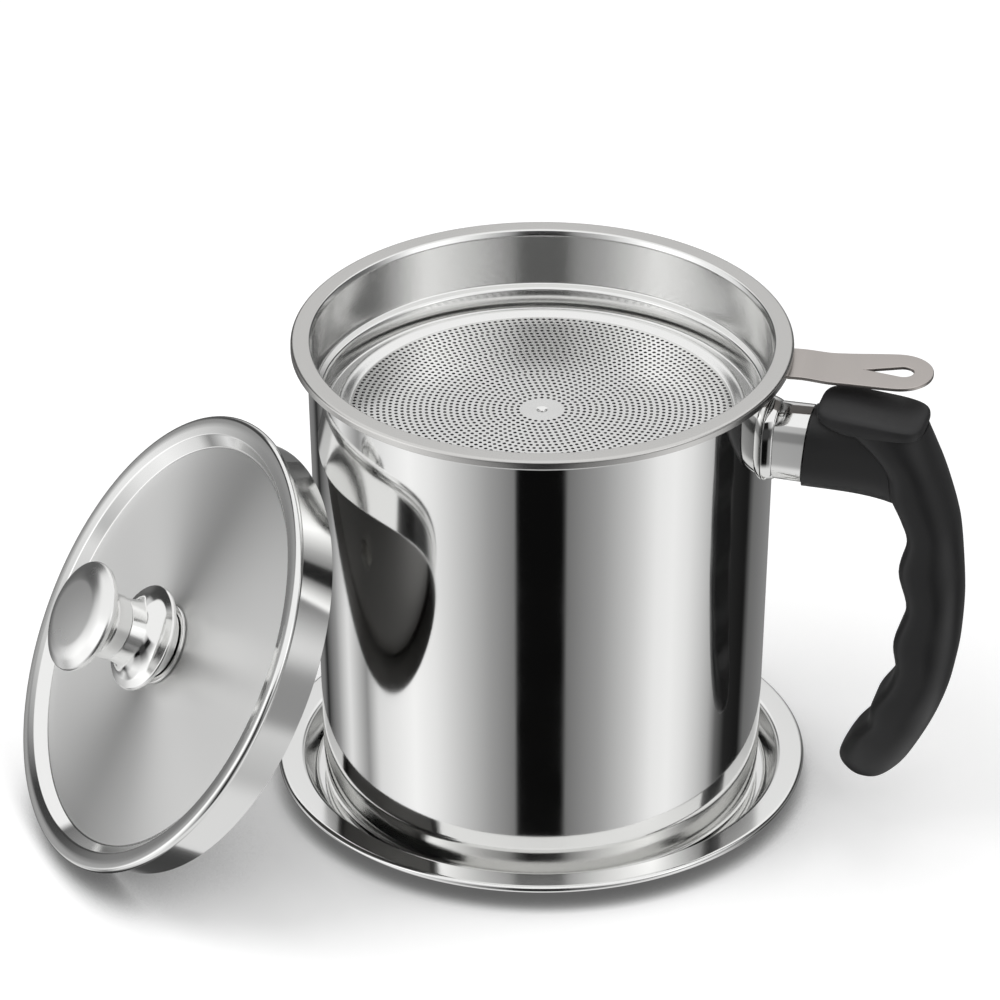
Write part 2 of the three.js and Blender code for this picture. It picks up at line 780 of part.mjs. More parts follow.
// The lid's lower edge is just off the floor, and the end of its skirt just off the pot's wall
function placeLid(lid) {
  const skirtRadius = lidRadius - lidSkirtInset - lidSkirtTaper;
  const lowestHem = (lidRadius - lidHemRadius) * Math.sin(lidTilt) + lidHemRadius;
  const lowestSkirt = lidSkirtDepth * Math.cos(lidTilt) + skirtRadius * Math.sin(lidTilt);
  const centreHeight = seatGap + Math.max(lowestHem, lowestSkirt);
  const touchHeight = centreHeight - lidSkirtDepth * Math.cos(lidTilt) + skirtRadius * Math.sin(lidTilt);
  const centreDistance = wallRadius(touchHeight) + leanGap
    + lidSkirtDepth * Math.sin(lidTilt) + skirtRadius * Math.cos(lidTilt);
  lid.position.set(
    centreDistance * Math.cos(lidBearing), centreDistance * Math.sin(lidBearing), centreHeight,
  );
  lid.rotation.set(0, lidTilt, lidBearing + lidTurn, 'ZYX');
}

const pot = new THREE.Group();
pot.add(
  piece('pot_shell', makePot(), steel(0xc9c9c7, 0.12)),
  piece('handle_bracket', makeHandleBracket(), steel(0xa6a6a4, 0.4)),
  piece('ferrule', makeFerrule(), steel(0xd2d2d0, 0.1)),
  piece('handle_screw', makeHandleScrew(), steel(0xb0b0ae, 0.35)),
  piece('handle_washer', makeHandleWasher(), steel(0xb8b8b6, 0.35)),
  piece('handle_grip', makeHandleGrip(), blackPlastic(0x1a1a1b, 0.5)),
  piece('thumb_pad', padBody(0), blackPlastic(0x1e1e1f, 0.6)),
);

const strainerTab = piece('strainer_tab', makeStrainerTab(), steel(0xbdb8b3, 0.35));
strainerTab.rotation.z = tabTurn;

const strainer = new THREE.Group();
strainer.add(
  piece('strainer_cup', makeStrainerCup(), steel(0xc6c6c4, 0.18)),
  piece('strainer_plate', makeStrainerPlate(), steel(0xbcbcba, 0.3)),
  strainerTab,
);

const lid = new THREE.Group();
lid.add(
  piece('lid_shell', makeLidShell(), steel(0xbfbfbd, 0.28)),
  piece('knob_base', makeKnobBase(), steel(0xb4b4b2, 0.25)),
  piece('knob_collar', makeKnobCollar(), steel(0xcacac8, 0.14)),
  piece('knob_neck', makeKnobNeck(), steel(0xcacac8, 0.14)),
  piece('knob_cap', makeKnobCap(), steel(0xcfcfcd, 0.12)),
  piece('knob_washer', makeKnobWasher(), steel(0xb8b8b6, 0.35)),
  piece('knob_screw', makeKnobScrew(), steel(0xb0b0ae, 0.35)),
);
placeLid(lid);

const container = new THREE.Group();
container.add(piece('tray', makeTray(), steel(0xc2c2c0, 0.22)), pot, strainer, lid);

export default container;
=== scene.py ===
import json
import math

import bmesh
import bpy
from mathutils import Matrix, Vector


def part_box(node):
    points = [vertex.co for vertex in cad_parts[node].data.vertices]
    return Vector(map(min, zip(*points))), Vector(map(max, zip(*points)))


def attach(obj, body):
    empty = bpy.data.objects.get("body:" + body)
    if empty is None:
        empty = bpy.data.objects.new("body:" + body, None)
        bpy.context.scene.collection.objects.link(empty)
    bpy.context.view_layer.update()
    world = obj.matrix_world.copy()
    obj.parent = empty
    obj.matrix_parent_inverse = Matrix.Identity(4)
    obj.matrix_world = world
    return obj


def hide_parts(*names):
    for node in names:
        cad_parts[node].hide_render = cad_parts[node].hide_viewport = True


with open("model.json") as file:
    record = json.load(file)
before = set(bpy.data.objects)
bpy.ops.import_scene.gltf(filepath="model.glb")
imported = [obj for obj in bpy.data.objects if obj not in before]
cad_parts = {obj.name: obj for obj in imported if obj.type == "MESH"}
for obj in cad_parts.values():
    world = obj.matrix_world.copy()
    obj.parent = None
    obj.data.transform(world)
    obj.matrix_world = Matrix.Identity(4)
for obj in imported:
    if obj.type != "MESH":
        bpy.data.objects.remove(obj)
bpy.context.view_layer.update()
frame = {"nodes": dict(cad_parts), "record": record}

print("frame loaded:", len(frame["nodes"]), "nodes")

mm = 0.001


# small helpers for node trees

smoothly = {"interpolation_type": "SMOOTHSTEP"}
colours = {"data_type": "RGBA"}
multiply = {"operation": "MULTIPLY"}


def linear(hexColour):
    channels = [int(hexColour[i:i + 2], 16) / 255 for i in (0, 2, 4)]
    return tuple(c / 12.92 if c <= 0.04045 else ((c + 0.055) / 1.055) ** 2.4 for c in channels) + (1.0,)


def grey(light):
    return (light, light, light, 1)


def addNode(tree, kind, settings=None, **inputs):
    # a socket is named with _ for its spaces, or by its number as in0, in1; its value may be another socket
    node = tree.nodes.new(kind)
    for name, value in (settings or {}).items():
        setattr(node, name, value)
    for name, value in inputs.items():
        numbered = name[:2] == "in" and name[2:].isdigit()
        socket = node.inputs[int(name[2:]) if numbered else name.replace("_", " ")]
        if isinstance(value, bpy.types.NodeSocket):
            tree.links.new(value, socket)
        else:
            socket.default_value = value
    return node


def newMaterial(name):
    material = bpy.data.materials.new(name)
    material.use_nodes = True
    tree = material.node_tree
    tree.nodes.clear()
    shader = addNode(tree, "ShaderNodeBsdfPrincipled")
    addNode(tree, "ShaderNodeOutputMaterial", Surface=shader.outputs["BSDF"])
    return material, tree, shader


# small helpers for meshes

meshing = {
    "turnSteps": 192,                   # faces round a spun piece
    "arcStep": 0.16,                    # radians of a bend to each of its faces
    "leastSegments": 3,
    "weld": 0.002,                      # millimetres, as the next two
    "sliver": 0.001,
    "edge": 0.12,
    "edgeAngle": 50,                    # degrees over which an edge is rounded
    "shadingWeight": 80,
}


def makePiece(name, bm, body, material, nodes, smooth=True):
    mesh = bpy.data.meshes.new(name)
    for face in bm.faces:
        face.smooth = smooth
    bm.to_mesh(mesh)
    bm.free()
    piece = bpy.data.objects.new(name, mesh)
    bpy.context.collection.objects.link(piece)
    piece.data.materials.append(material)
    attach(piece, body)
    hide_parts(*nodes)
    return piece


def wireLine(bm, corners, arcStep):
    # corners are (radius, height, bend radius) in millimetres; each bend is a bevelled vertex
    verts = [bm.verts.new((corner[0] * mm, 0, corner[1] * mm)) for corner in corners]
    for start, end in zip(verts, verts[1:]):
        bm.edges.new((start, end))
    for i, corner in enumerate(corners):
        if len(corner) < 3:
            continue
        before = (Vector(corner[:2]) - Vector(corners[i - 1][:2])).normalized()
        after = (Vector(corners[i + 1][:2]) - Vector(corner[:2])).normalized()
        turn = before.angle(after)
        bmesh.ops.bevel(
            bm, geom=[verts[i]], offset=corner[2] * mm * math.tan(turn / 2), offset_type="OFFSET",
            segments=max(meshing["leastSegments"], round(turn / arcStep)), profile=0.5, affect="VERTICES",
            material=-1,
        )


def spunForm(corners, arcStep=meshing["arcStep"]):
    bm = bmesh.new()
    wireLine(bm, corners, arcStep)
    bmesh.ops.spin(
        bm, geom=bm.verts[:] + bm.edges[:], cent=(0, 0, 0), axis=(0, 0, 1), dvec=(0, 0, 0),
        angle=2 * math.pi, steps=meshing["turnSteps"], use_merge=True, use_duplicate=False,
    )
    bmesh.ops.remove_doubles(bm, verts=bm.verts[:], dist=meshing["weld"] * mm)
    bmesh.ops.dissolve_degenerate(bm, edges=bm.edges[:], dist=meshing["sliver"] * mm)
    bmesh.ops.recalc_face_normals(bm, faces=bm.faces[:])
    return bm


def addShading(piece):
    shading = piece.modifiers.new("shading", "WEIGHTED_NORMAL")
    shading.mode = "FACE_AREA"
    shading.weight = meshing["shadingWeight"]
    shading.keep_sharp = True


def roundEdges(piece, width):
    edge = piece.modifiers.new("edge", "BEVEL")
    edge.width = width * mm
    edge.segments = 2
    edge.limit_method = "ANGLE"
    edge.angle_limit = math.radians(meshing["edgeAngle"])
    addShading(piece)


def addThickness(piece, thickness):
    # half to each side of the drawn skin
    wall = piece.modifiers.new("wall", "SOLIDIFY")
    wall.thickness = thickness * mm
    wall.offset = 0
    return wall


def addWall(piece, thickness, edge=meshing["edge"]):
    wall = addThickness(piece, thickness)
    wall.use_even_offset = True
    wall.use_quality_normals = True
    roundEdges(piece, edge)
    return wall


# camera, at the height and bearing of the photograph, with a long lens

viewCamera = {
    "bearing": 15.0,                    # degrees from the front, towards the handle
    "elevation": 29.8,
    "distance": 2.010,
    "lens": 277.2,
    "sensor": 36,
    "clipEnd": 20,
    "lookAt": (-0.01053, -0.00282, 0.0823),
}


def makeCamera():
    bearing = math.radians(viewCamera["bearing"])
    elevation = math.radians(viewCamera["elevation"])
    level = math.cos(elevation)
    back = Vector((math.sin(bearing) * level, -math.cos(bearing) * level, math.sin(elevation)))
    data = bpy.data.cameras.new("camera")
    data.lens = viewCamera["lens"]
    data.sensor_width = viewCamera["sensor"]
    data.clip_end = viewCamera["clipEnd"]
    camera = bpy.data.objects.new("camera", data)
    camera.location = Vector(viewCamera["lookAt"]) + back * viewCamera["distance"]
    camera.rotation_euler = back.to_track_quat("Z", "Y").to_euler()
    bpy.context.collection.objects.link(camera)
    bpy.context.scene.camera = camera


makeCamera()
print("camera placed")


# studio: the polished steel mirrors belts of soft boxes and dark flags that stand round the object

studio = {
    # degrees round the object from the camera's side, towards the handle, and how bright it is there;
    # first for what is mirrored steeply downwards: the floor, dark behind the lid
    "lowerRing": (
        (-180, 0.10), (-160, 0.04), (-110, 0.04), (-75, 0.80), (120, 0.80), (160, 0.30), (180, 0.10),
    ),
    # the same for what the upright walls mirror
    "ring": (
        (-180, 0.25), (-157, 0.18), (-150, 0.015), (-146, 0.10), (-134, 0.30), (-120, 0.85), (-110, 0.50),
        (-104, 0.30), (-95, 0.80), (-70, 1.05), (-57, 0.90), (-44, 0.66), (-27, 0.37), (-14, 0.22),
        (-12.5, 0.004), (11, 0.004), (12, 0.18), (30, 0.36), (47, 0.64), (60, 0.92), (70, 0.98),
        (80, 0.86), (91, 0.62), (98, 0.44), (104, 0.14), (112, 0.02), (127, 0.01), (134, 0.16), (160, 0.24),
        (180, 0.25),
    ),
    # and for what is mirrored level: the far walls of the room, which the lid's dome and knob face
    "horizonRing": (
        (-180, 0.08), (-150, 0.12), (-124, 0.30), (-108, 0.95), (-90, 1.30), (-60, 1.00), (-35, 0.35),
        (-15, 0.05), (15, 0.05), (40, 0.30), (90, 0.30), (150, 0.16), (180, 0.16),
    ),
    # and for what is mirrored upwards: a ceiling of soft boxes with dark gaps between
    "upperRing": (
        (-180, 0.72), (-168, 0.65), (-156, 0.08), (-118, 0.04), (-106, 0.75), (-90, 0.95), (-75, 1.25),
        (-60, 1.5), (-45, 1.0), (-30, 0.55), (-15, 0.28), (-12.5, 0.01), (11, 0.01), (13, 0.28), (30, 0.80),
        (45, 1.15), (60, 1.45), (74, 0.80), (90, 0.18), (105, 0.04), (120, 0.03), (150, 0.05), (166, 0.65),
        (180, 0.72),
    ),
    "overhead": 1.0,
    # where each belt fades into the next one up, as the height of a direction of length 1
    "lowerRingEnds": (-0.80, -0.64),
    "ringEnds": (-0.38, -0.26),
    "horizonEnds": (0.02, 0.22),
    "upperRingEnds": (0.485, 0.57),
    "ambient": 0.62,
    "backdrop": 1.0,
    # name, place in metres, power
    "lamps": (("keyLamp", (-0.75, -0.35, 1.3), 7.0), ("fillLamp", (0.8, -0.7, 1.1), 3.5)),
    "lampSize": 0.9,
    "lampAim": (0, 0, 0.05),
    "floorReach": 6,
    "floorDrop": 0.0002,                # metres under the object, so that the two don't share a plane
    "floorColour": "F2F2F2",
    "floorRoughness": 0.9,
    "floorGlow": 0.32,                  # added for the camera, so that the lit floor reaches white
    "contactReach": 0.055,              # metres over which painted contact shade darkens the floor near the steel
    "contactOpen": (0.2, 0.85),         # share of open sky at which it is darkest, and at which it is clear
    "contactShade": 0.2,
}


def lightRing(tree, place, name):
    ring = addNode(tree, "ShaderNodeValToRGB", Fac=place)
    stops = ring.color_ramp.elements
    for i, (degrees, light) in enumerate(studio[name]):
        stop = stops[i] if i < 2 else stops.new((degrees + 180) / 360)
        stop.position = (degrees + 180) / 360
        stop.color = grey(light)
    return ring.outputs["Color"]


def makeWorld():
    world = bpy.data.worlds.new("studio")
    bpy.context.scene.world = world
    world.use_nodes = True
    tree = world.node_tree
    tree.nodes.clear()
    direction = addNode(tree, "ShaderNodeTexCoord").outputs["Generated"]
    turned = addNode(
        tree, "ShaderNodeMapping", {"vector_type": "POINT"}, Vector=direction,
        Rotation=(0, 0, -math.radians(viewCamera["bearing"])),
    ).outputs[0]
    sideways, forwards, upwards = addNode(tree, "ShaderNodeSeparateXYZ", Vector=turned).outputs
    towards = addNode(tree, "ShaderNodeMath", multiply, in0=forwards, in1=-1.0).outputs[0]
    angle = addNode(tree, "ShaderNodeMath", {"operation": "ARCTAN2"}, in0=sideways, in1=towards).outputs[0]
    place = addNode(
        tree, "ShaderNodeMapRange", Value=angle, From_Min=-math.pi, From_Max=math.pi,
    ).outputs["Result"]
    mirrored = lightRing(tree, place, "lowerRing")
    for ends, above in (
        ("lowerRingEnds", lightRing(tree, place, "ring")),
        ("ringEnds", lightRing(tree, place, "horizonRing")),
        ("horizonEnds", lightRing(tree, place, "upperRing")),
        ("upperRingEnds", grey(studio["overhead"])),
    ):
        start, end = studio[ends]
        share = addNode(
            tree, "ShaderNodeMapRange", smoothly, Value=upwards, From_Min=start, From_Max=end,
        ).outputs["Result"]
        mirrored = addNode(tree, "ShaderNodeMix", colours, Factor=share, in6=mirrored, in7=above).outputs[2]
    rays = addNode(tree, "ShaderNodeLightPath")
    unseen = addNode(
        tree, "ShaderNodeMix", colours, Factor=rays.outputs["Is Glossy Ray"], in6=grey(studio["ambient"]),
        in7=mirrored,
    ).outputs[2]
    light = addNode(
        tree, "ShaderNodeMix", colours, Factor=rays.outputs["Is Camera Ray"], in6=unseen,
        in7=grey(studio["backdrop"]),
    ).outputs[2]
    background = addNode(tree, "ShaderNodeBackground", Color=light)
    addNode(tree, "ShaderNodeOutputWorld", Surface=background.outputs[0])


def makeLamps():
    for name, place, power in studio["lamps"]:
        data = bpy.data.lights.new(name, "AREA")
        data.shape = "DISK"
        data.size = studio["lampSize"]
        data.energy = power
        lamp = bpy.data.objects.new(name, data)
        lamp.location = place
        fromAim = Vector(place) - Vector(studio["lampAim"])
        lamp.rotation_euler = fromAim.to_track_quat("Z", "Y").to_euler()
        lamp.visible_glossy = False
        bpy.context.collection.objects.link(lamp)


def makeFloor():
    bm = bmesh.new()
    bmesh.ops.create_grid(bm, x_segments=1, y_segments=1, size=studio["floorReach"])
    mesh = bpy.data.meshes.new("floor")
    bm.to_mesh(mesh)
    bm.free()
    floor = bpy.data.objects.new("floor", mesh)
    floor.location = (0, 0, -studio["floorDrop"])
    bpy.context.collection.objects.link(floor)
    floor.visible_glossy = False
    # white paper: dull; its colour and its glow are darkened by ambient occlusion near the steel, a painted
    # contact shade
    material, tree, shader = newMaterial("white paper sweep")
    openSky = addNode(
        tree, "ShaderNodeAmbientOcclusion", {"samples": 8}, Distance=studio["contactReach"],
    ).outputs["AO"]
    closed, clear = studio["contactOpen"]
    shade = addNode(
        tree, "ShaderNodeMapRange", smoothly, Value=openSky, From_Min=closed, From_Max=clear,
        To_Min=studio["contactShade"], To_Max=1.0,
    ).outputs["Result"]
    paper = addNode(
        tree, "ShaderNodeMix", colours, Factor=shade, in6=grey(0), in7=linear(studio["floorColour"]),
    ).outputs[2]
    tree.links.new(paper, shader.inputs["Base Color"])
    shader.inputs["Roughness"].default_value = studio["floorRoughness"]
    shader.inputs["Specular IOR Level"].default_value = 0.0
    seen = addNode(tree, "ShaderNodeLightPath").outputs["Is Camera Ray"]
    seenShade = addNode(tree, "ShaderNodeMath", multiply, in0=seen, in1=shade).outputs[0]
    glow = addNode(tree, "ShaderNodeMath", multiply, in0=seenShade, in1=studio["floorGlow"]).outputs[0]
    shader.inputs["Emission Color"].default_value = grey(1)
    tree.links.new(glow, shader.inputs["Emission Strength"])
    mesh.materials.append(material)


makeWorld()
makeLamps()
makeFloor()
bpy.context.scene.view_settings.view_transform = "Standard"
print("studio lit")


# steels: all the sheet is 18/8 stainless, and its finishes differ by how the surface was made

steelColour = "EDEDEC"


def axisParts(tree, place=None):
    # a turned piece's own coordinates and the distance from its axis; place is its matrix, if it is tilted
    point = addNode(tree, "ShaderNodeTexCoord").outputs["Object"]
    if place is not None:
        inverse = place.inverted()
        point = addNode(
            tree, "ShaderNodeMapping", {"vector_type": "POINT"}, Vector=point,
            Location=inverse.to_translation(), Rotation=inverse.to_euler(),
        ).outputs[0]
    flat = addNode(tree, "ShaderNodeVectorMath", multiply, in0=point, in1=(1, 1, 0)).outputs[0]
    radius = addNode(tree, "ShaderNodeVectorMath", {"operation": "LENGTH"}, in0=flat).outputs["Value"]
    return point, radius


def roundTheAxis(tree, place=None):
    # direction of the turning marks, in the object's frame: square to the axis and to the line from it
    axis = (0, 0, 1) if place is None else tuple(place.col[2].xyz)
    centre = (0, 0, 0) if place is None else tuple(place.to_translation())
    point = addNode(tree, "ShaderNodeTexCoord").outputs["Object"]
    fromAxis = addNode(
        tree, "ShaderNodeVectorMath", {"operation": "SUBTRACT"}, in0=point, in1=centre,
    ).outputs[0]
    return addNode(
        tree, "ShaderNodeVectorMath", {"operation": "CROSS_PRODUCT"}, in0=axis, in1=fromAxis,
    ).outputs[0]


def unevenRoughness(tree, noise, roughness, less, more, quiet=0.3, full=0.7):
    # the roughness that a noise gives: less than the given one where it is quiet, and more where it is full
    return addNode(
        tree, "ShaderNodeMapRange", smoothly, Value=noise, From_Min=quiet, From_Max=full,
        To_Min=roughness - less, To_Max=roughness + more,
    ).outputs["Result"]


def dressSteel(tree, shader, colour, roughness, marks, finish):
    # the colour, roughness and marks of a bare metal
    shader.inputs["Base Color"].default_value = linear(colour)
    shader.inputs["Metallic"].default_value = 1.0
    tree.links.new(roughness, shader.inputs["Roughness"])
    bump = addNode(
        tree, "ShaderNodeBump", Height=marks, Strength=finish["lineStrength"],
        Distance=finish["lineDepth"] * mm,
    ).outputs[0]
    tree.links.new(bump, shader.inputs["Normal"])


mirrorFinish = {
    "roughness": 0.055,
    "uneven": (0, 0.03),                # less roughness at the clearest place, more at the haziest
    "hazeSize": 22.0,                   # millimetres across
    "hazeStart": 0.35,                  # value of the haze's noise at which it begins
    "lineWidth": 0.35,                  # polishing lines, drawn wider than real so that they show
    "lineDepth": 0.0006,
    "lineStrength": 0.35,
}


def mirrorSteel(name, place=None, roughness=mirrorFinish["roughness"]):
    # buffed stainless: a clear mirror with faint haze and hair-fine lines round the axis
    material, tree, shader = newMaterial(name)
    point, radius = axisParts(tree, place)
    haze = addNode(
        tree, "ShaderNodeTexNoise", Vector=point, Scale=1 / (mirrorFinish["hazeSize"] * mm), Detail=3.0,
        Roughness=0.55,
    ).outputs[0]
    uneven = unevenRoughness(tree, haze, roughness, *mirrorFinish["uneven"], mirrorFinish["hazeStart"])
    height = addNode(tree, "ShaderNodeSeparateXYZ", Vector=point).outputs["Z"]
    alongProfile = addNode(tree, "ShaderNodeMath", {"operation": "ADD"}, in0=height, in1=radius).outputs[0]
    lines = addNode(
        tree, "ShaderNodeTexNoise", {"noise_dimensions": "1D"}, W=alongProfile,
        Scale=1 / (mirrorFinish["lineWidth"] * mm), Detail=2.0,
    ).outputs[0]
    dressSteel(tree, shader, steelColour, uneven, lines, mirrorFinish)
    return material


satinFinish = {
    "anisotropy": 0.3,
    "buffed": 0.105,                    # roughness of the buffed part of a satin piece
    "border": 0.2,                      # millimetres on each side over which the one turns into the other
    "uneven": (0.015, 0.02),
    "cloudSize": 80,
    "lineWidth": 0.30,
    "lineDepth": 0.0025,
    "lineStrength": 0.5,
}


def satinSteel(
    name, roughness, place=None, colour=steelColour, anisotropy=satinFinish["anisotropy"],
    buffedFrom=None, buffedTo=None, buffed=satinFinish["buffed"],
):
    # stainless satin-ground on a turntable: fine rings that fan the light out; outside buffedFrom, or inside
    # buffedTo, it is buffed and has the plain steel colour
    material, tree, shader = newMaterial(name)
    point, radius = axisParts(tree, place)
    cloud = addNode(
        tree, "ShaderNodeTexNoise", Vector=point, Scale=1 / (satinFinish["cloudSize"] * mm), Detail=1.0,
    ).outputs[0]
    uneven = unevenRoughness(tree, cloud, roughness, *satinFinish["uneven"])
    if buffedFrom or buffedTo:
        border = buffedFrom or buffedTo
        start, end = (border - satinFinish["border"]) * mm, (border + satinFinish["border"]) * mm
        inner, outer = (0, 1) if buffedFrom else (1, 0)
        share = addNode(
            tree, "ShaderNodeMapRange", smoothly, Value=radius, From_Min=start, From_Max=end, To_Min=inner,
            To_Max=outer,
        ).outputs["Result"]
        uneven = addNode(
            tree, "ShaderNodeMix", {"data_type": "FLOAT"}, Factor=share, in2=uneven, in3=buffed,
        ).outputs[0]
        tint = addNode(
            tree, "ShaderNodeMix", colours, Factor=share, in6=linear(colour), in7=linear(steelColour),
        ).outputs[2]
        tree.links.new(tint, shader.inputs["Base Color"])
    rings = addNode(
        tree, "ShaderNodeTexNoise", {"noise_dimensions": "1D"}, W=radius,
        Scale=1 / (satinFinish["lineWidth"] * mm), Detail=3.0, Roughness=0.7,
    ).outputs[0]
    dressSteel(tree, shader, colour, uneven, rings, satinFinish)
    shader.inputs["Anisotropic"].default_value = anisotropy
    shader.inputs["Anisotropic Rotation"].default_value = 0.25      # the light spreads across the marks
    tree.links.new(roundTheAxis(tree, place), shader.inputs["Tangent"])
    return material


plainFinish = {
    "uneven": (0.07, 0.1),
    "lineWidth": 0.5,
    "lineDepth": 0.01,
    "lineStrength": 0.2,
}


def plainSteel(name, colour, roughness):
    # steel left as the tool or the press leaves it: a dull grey with fine uneven marks; given a darker grey,
    # it also carries painted shade in the plate's holes and inside the lid
    material, tree, shader = newMaterial(name)
    point = addNode(tree, "ShaderNodeTexCoord").outputs["Object"]
    marks = addNode(
        tree, "ShaderNodeTexNoise", Vector=point, Scale=1 / (plainFinish["lineWidth"] * mm), Detail=4.0,
    ).outputs[0]
    uneven = unevenRoughness(tree, marks, roughness, *plainFinish["uneven"])
    dressSteel(tree, shader, colour, uneven, marks, plainFinish)
    return material


plasticFinish = {
    "ior": 1.5,
    "uneven": (0.05, 0.06),
    "grain": 0.28,                      # millimetres across, drawn coarser than the real spark grain
    "grainDepth": 0.012,
    "wearSize": 14,
}


def blackPlastic(name, colour, roughness, grainStrength):
    # moulded nylon with a fine spark-eroded grain: near black, with a broad soft sheen
    material, tree, shader = newMaterial(name)
    point = addNode(tree, "ShaderNodeTexCoord").outputs["Object"]
    grain = addNode(
        tree, "ShaderNodeTexVoronoi", {"feature": "SMOOTH_F1"}, Vector=point,
        Scale=1 / (plasticFinish["grain"] * mm), Smoothness=0.6,
    ).outputs["Distance"]
    wear = addNode(
        tree, "ShaderNodeTexNoise", Vector=point, Scale=1 / (plasticFinish["wearSize"] * mm), Detail=4.0,
    ).outputs[0]
    uneven = unevenRoughness(tree, wear, roughness, *plasticFinish["uneven"])
    bump = addNode(
        tree, "ShaderNodeBump", Height=grain, Strength=grainStrength,
        Distance=plasticFinish["grainDepth"] * mm,
    ).outputs[0]
    shader.inputs["Base Color"].default_value = linear(colour)
    shader.inputs["IOR"].default_value = plasticFinish["ior"]
    tree.links.new(uneven, shader.inputs["Roughness"])
    tree.links.new(bump, shader.inputs["Normal"])
    return material


print("finishes ready")


# places taken from the frame: corners in metres, and three heights in millimetres

potLow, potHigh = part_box("pot_shell")
cupLow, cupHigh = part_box("strainer_cup")
potFloor = potLow.z / mm
rimTop = potHigh.z / mm
flangeTop = cupHigh.z / mm


tray = {
    "sheet": 0.6,
    "wellRadius": 59.8,
    "wellSlope": 3.2,
    "wellBend": 1.8,
    "flangeBend": 1.2,
    "lipBend": 0.75,
    "lipDepth": 1.6,
    "lipLean": 0.3,
    "roughness": 0.11,
}


def makeTray():
    half = tray["sheet"] / 2
    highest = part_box("tray")[1]
    top = highest.z / mm
    edge = highest.y / mm - half
    bm = spunForm([
        (0, half),
        (tray["wellRadius"], half, tray["wellBend"]),
        (tray["wellRadius"] + tray["wellSlope"], top - half, tray["flangeBend"]),
        (edge, top - half, tray["lipBend"]),
        (edge - tray["lipLean"], top - tray["lipDepth"]),
    ])
    material = mirrorSteel("bright-rolled stainless, tray", roughness=tray["roughness"])
    addWall(makePiece("trayForm", bm, "tray", material, ["tray"]), tray["sheet"])


pot = {
    "sheet": 0.6,
    "footRadius": 57.4,
    "rimRadius": 60.8,
    "cornerRadius": 2.6,
    "rollRadius": 1.3,
    "rollShare": 0.98,                  # how much of the rolled edge its bends take up
    "rollEndShare": 0.3,                # where the sheet ends under the roll
    "flare": 0.4,
    "flareHeight": 2.4,
    "flareBend": 3,
    "insideRoughness": 0.42,
}
wallTop = rimTop - pot["rollRadius"] - pot["flareHeight"]


def wallRadius(height):
    share = (height - potFloor) / (wallTop - potFloor)
    return pot["footRadius"] + (pot["rimRadius"] - pot["footRadius"]) * share


def makePot():
    half = pot["sheet"] / 2
    rollLine = pot["rollRadius"] - half
    rollBend = rollLine * pot["rollShare"]
    rollCentre = pot["rimRadius"] + pot["flare"] + pot["rollRadius"]
    rollTop = rimTop - half
    rollLow = rollTop - 2 * rollLine
    bm = spunForm([
        (0, potFloor + half),
        (pot["footRadius"] - half, potFloor + half, pot["cornerRadius"] - half),
        (pot["rimRadius"] - half, wallTop, pot["flareBend"]),
        (rollCentre - rollLine, rollTop, rollBend),
        (rollCentre + rollLine, rollTop, rollBend),
        (rollCentre + rollLine, rollLow, rollBend),
        (rollCentre - rollLine * pot["rollEndShare"], rollLow),
    ])
    # the spun skin faces the axis, so the thickness that is added to it is the outside
    inside = satinSteel(
        "drawn stainless, inside of the pot", pot["insideRoughness"], buffedFrom=pot["rimRadius"],
    )
    piece = makePiece("potForm", bm, "pot", inside, ["pot_shell"])
    piece.data.materials.append(mirrorSteel("mirror-buffed stainless, pot"))
    addWall(piece, pot["sheet"]).material_offset = 1


makeTray()
makePot()
print("tray and pot spun")


strainer = {
    "sheet": 0.6,
    "stepDepth": 15.8,
    "stepWidth": 2.1,
    "stepFall": 0.4,
    "lowerTaper": 0.25,
    "ledgeReach": 5.0,
    "nestGap": 0.3,
    "lipDepth": 2.2,
    "lipBend": 0.5,
    "throatRadius": 60.3,               # where the flange turns down into the cup
    "throatDepth": 1.5,
    "throatBend": 1.2,
    "flangeBend": 0.35,
    "stepBend": 0.7,
    "ledgeBend": 0.9,
    "colour": "D2D1CF",
    "roughness": 0.25,
    "buffed": 0.15,
}


def makeStrainerCup():
    half = strainer["sheet"] / 2
    lip = cupHigh.y / mm - half
    ledge = cupLow.z / mm + half
    inset = pot["sheet"] + strainer["nestGap"] + half
    throatEnd = flangeTop - strainer["throatDepth"]
    step = flangeTop - strainer["stepDepth"]
    lowerWall = wallRadius(step) - inset - strainer["stepWidth"]
    foot = lowerWall - strainer["lowerTaper"]
    bm = spunForm([
        (lip, flangeTop - strainer["lipDepth"]),
        (lip, flangeTop - half, strainer["lipBend"]),
        (strainer["throatRadius"], flangeTop - half, strainer["flangeBend"]),
        (wallRadius(throatEnd) - inset, throatEnd, strainer["throatBend"]),
        (wallRadius(step) - inset, step, strainer["stepBend"]),
        (lowerWall, step - strainer["stepFall"], strainer["stepBend"]),
        (foot, ledge, strainer["ledgeBend"]),
        (foot - strainer["ledgeReach"], ledge),
    ])
    material = satinSteel(
        "buffed stainless with a satin flange, strainer", strainer["roughness"], colour=strainer["colour"],
        anisotropy=0.0, buffedTo=strainer["throatRadius"], buffed=strainer["buffed"],
    )
    piece = makePiece("strainerForm", bm, "strainer", material, ["strainer_cup"])
    addWall(piece, strainer["sheet"])


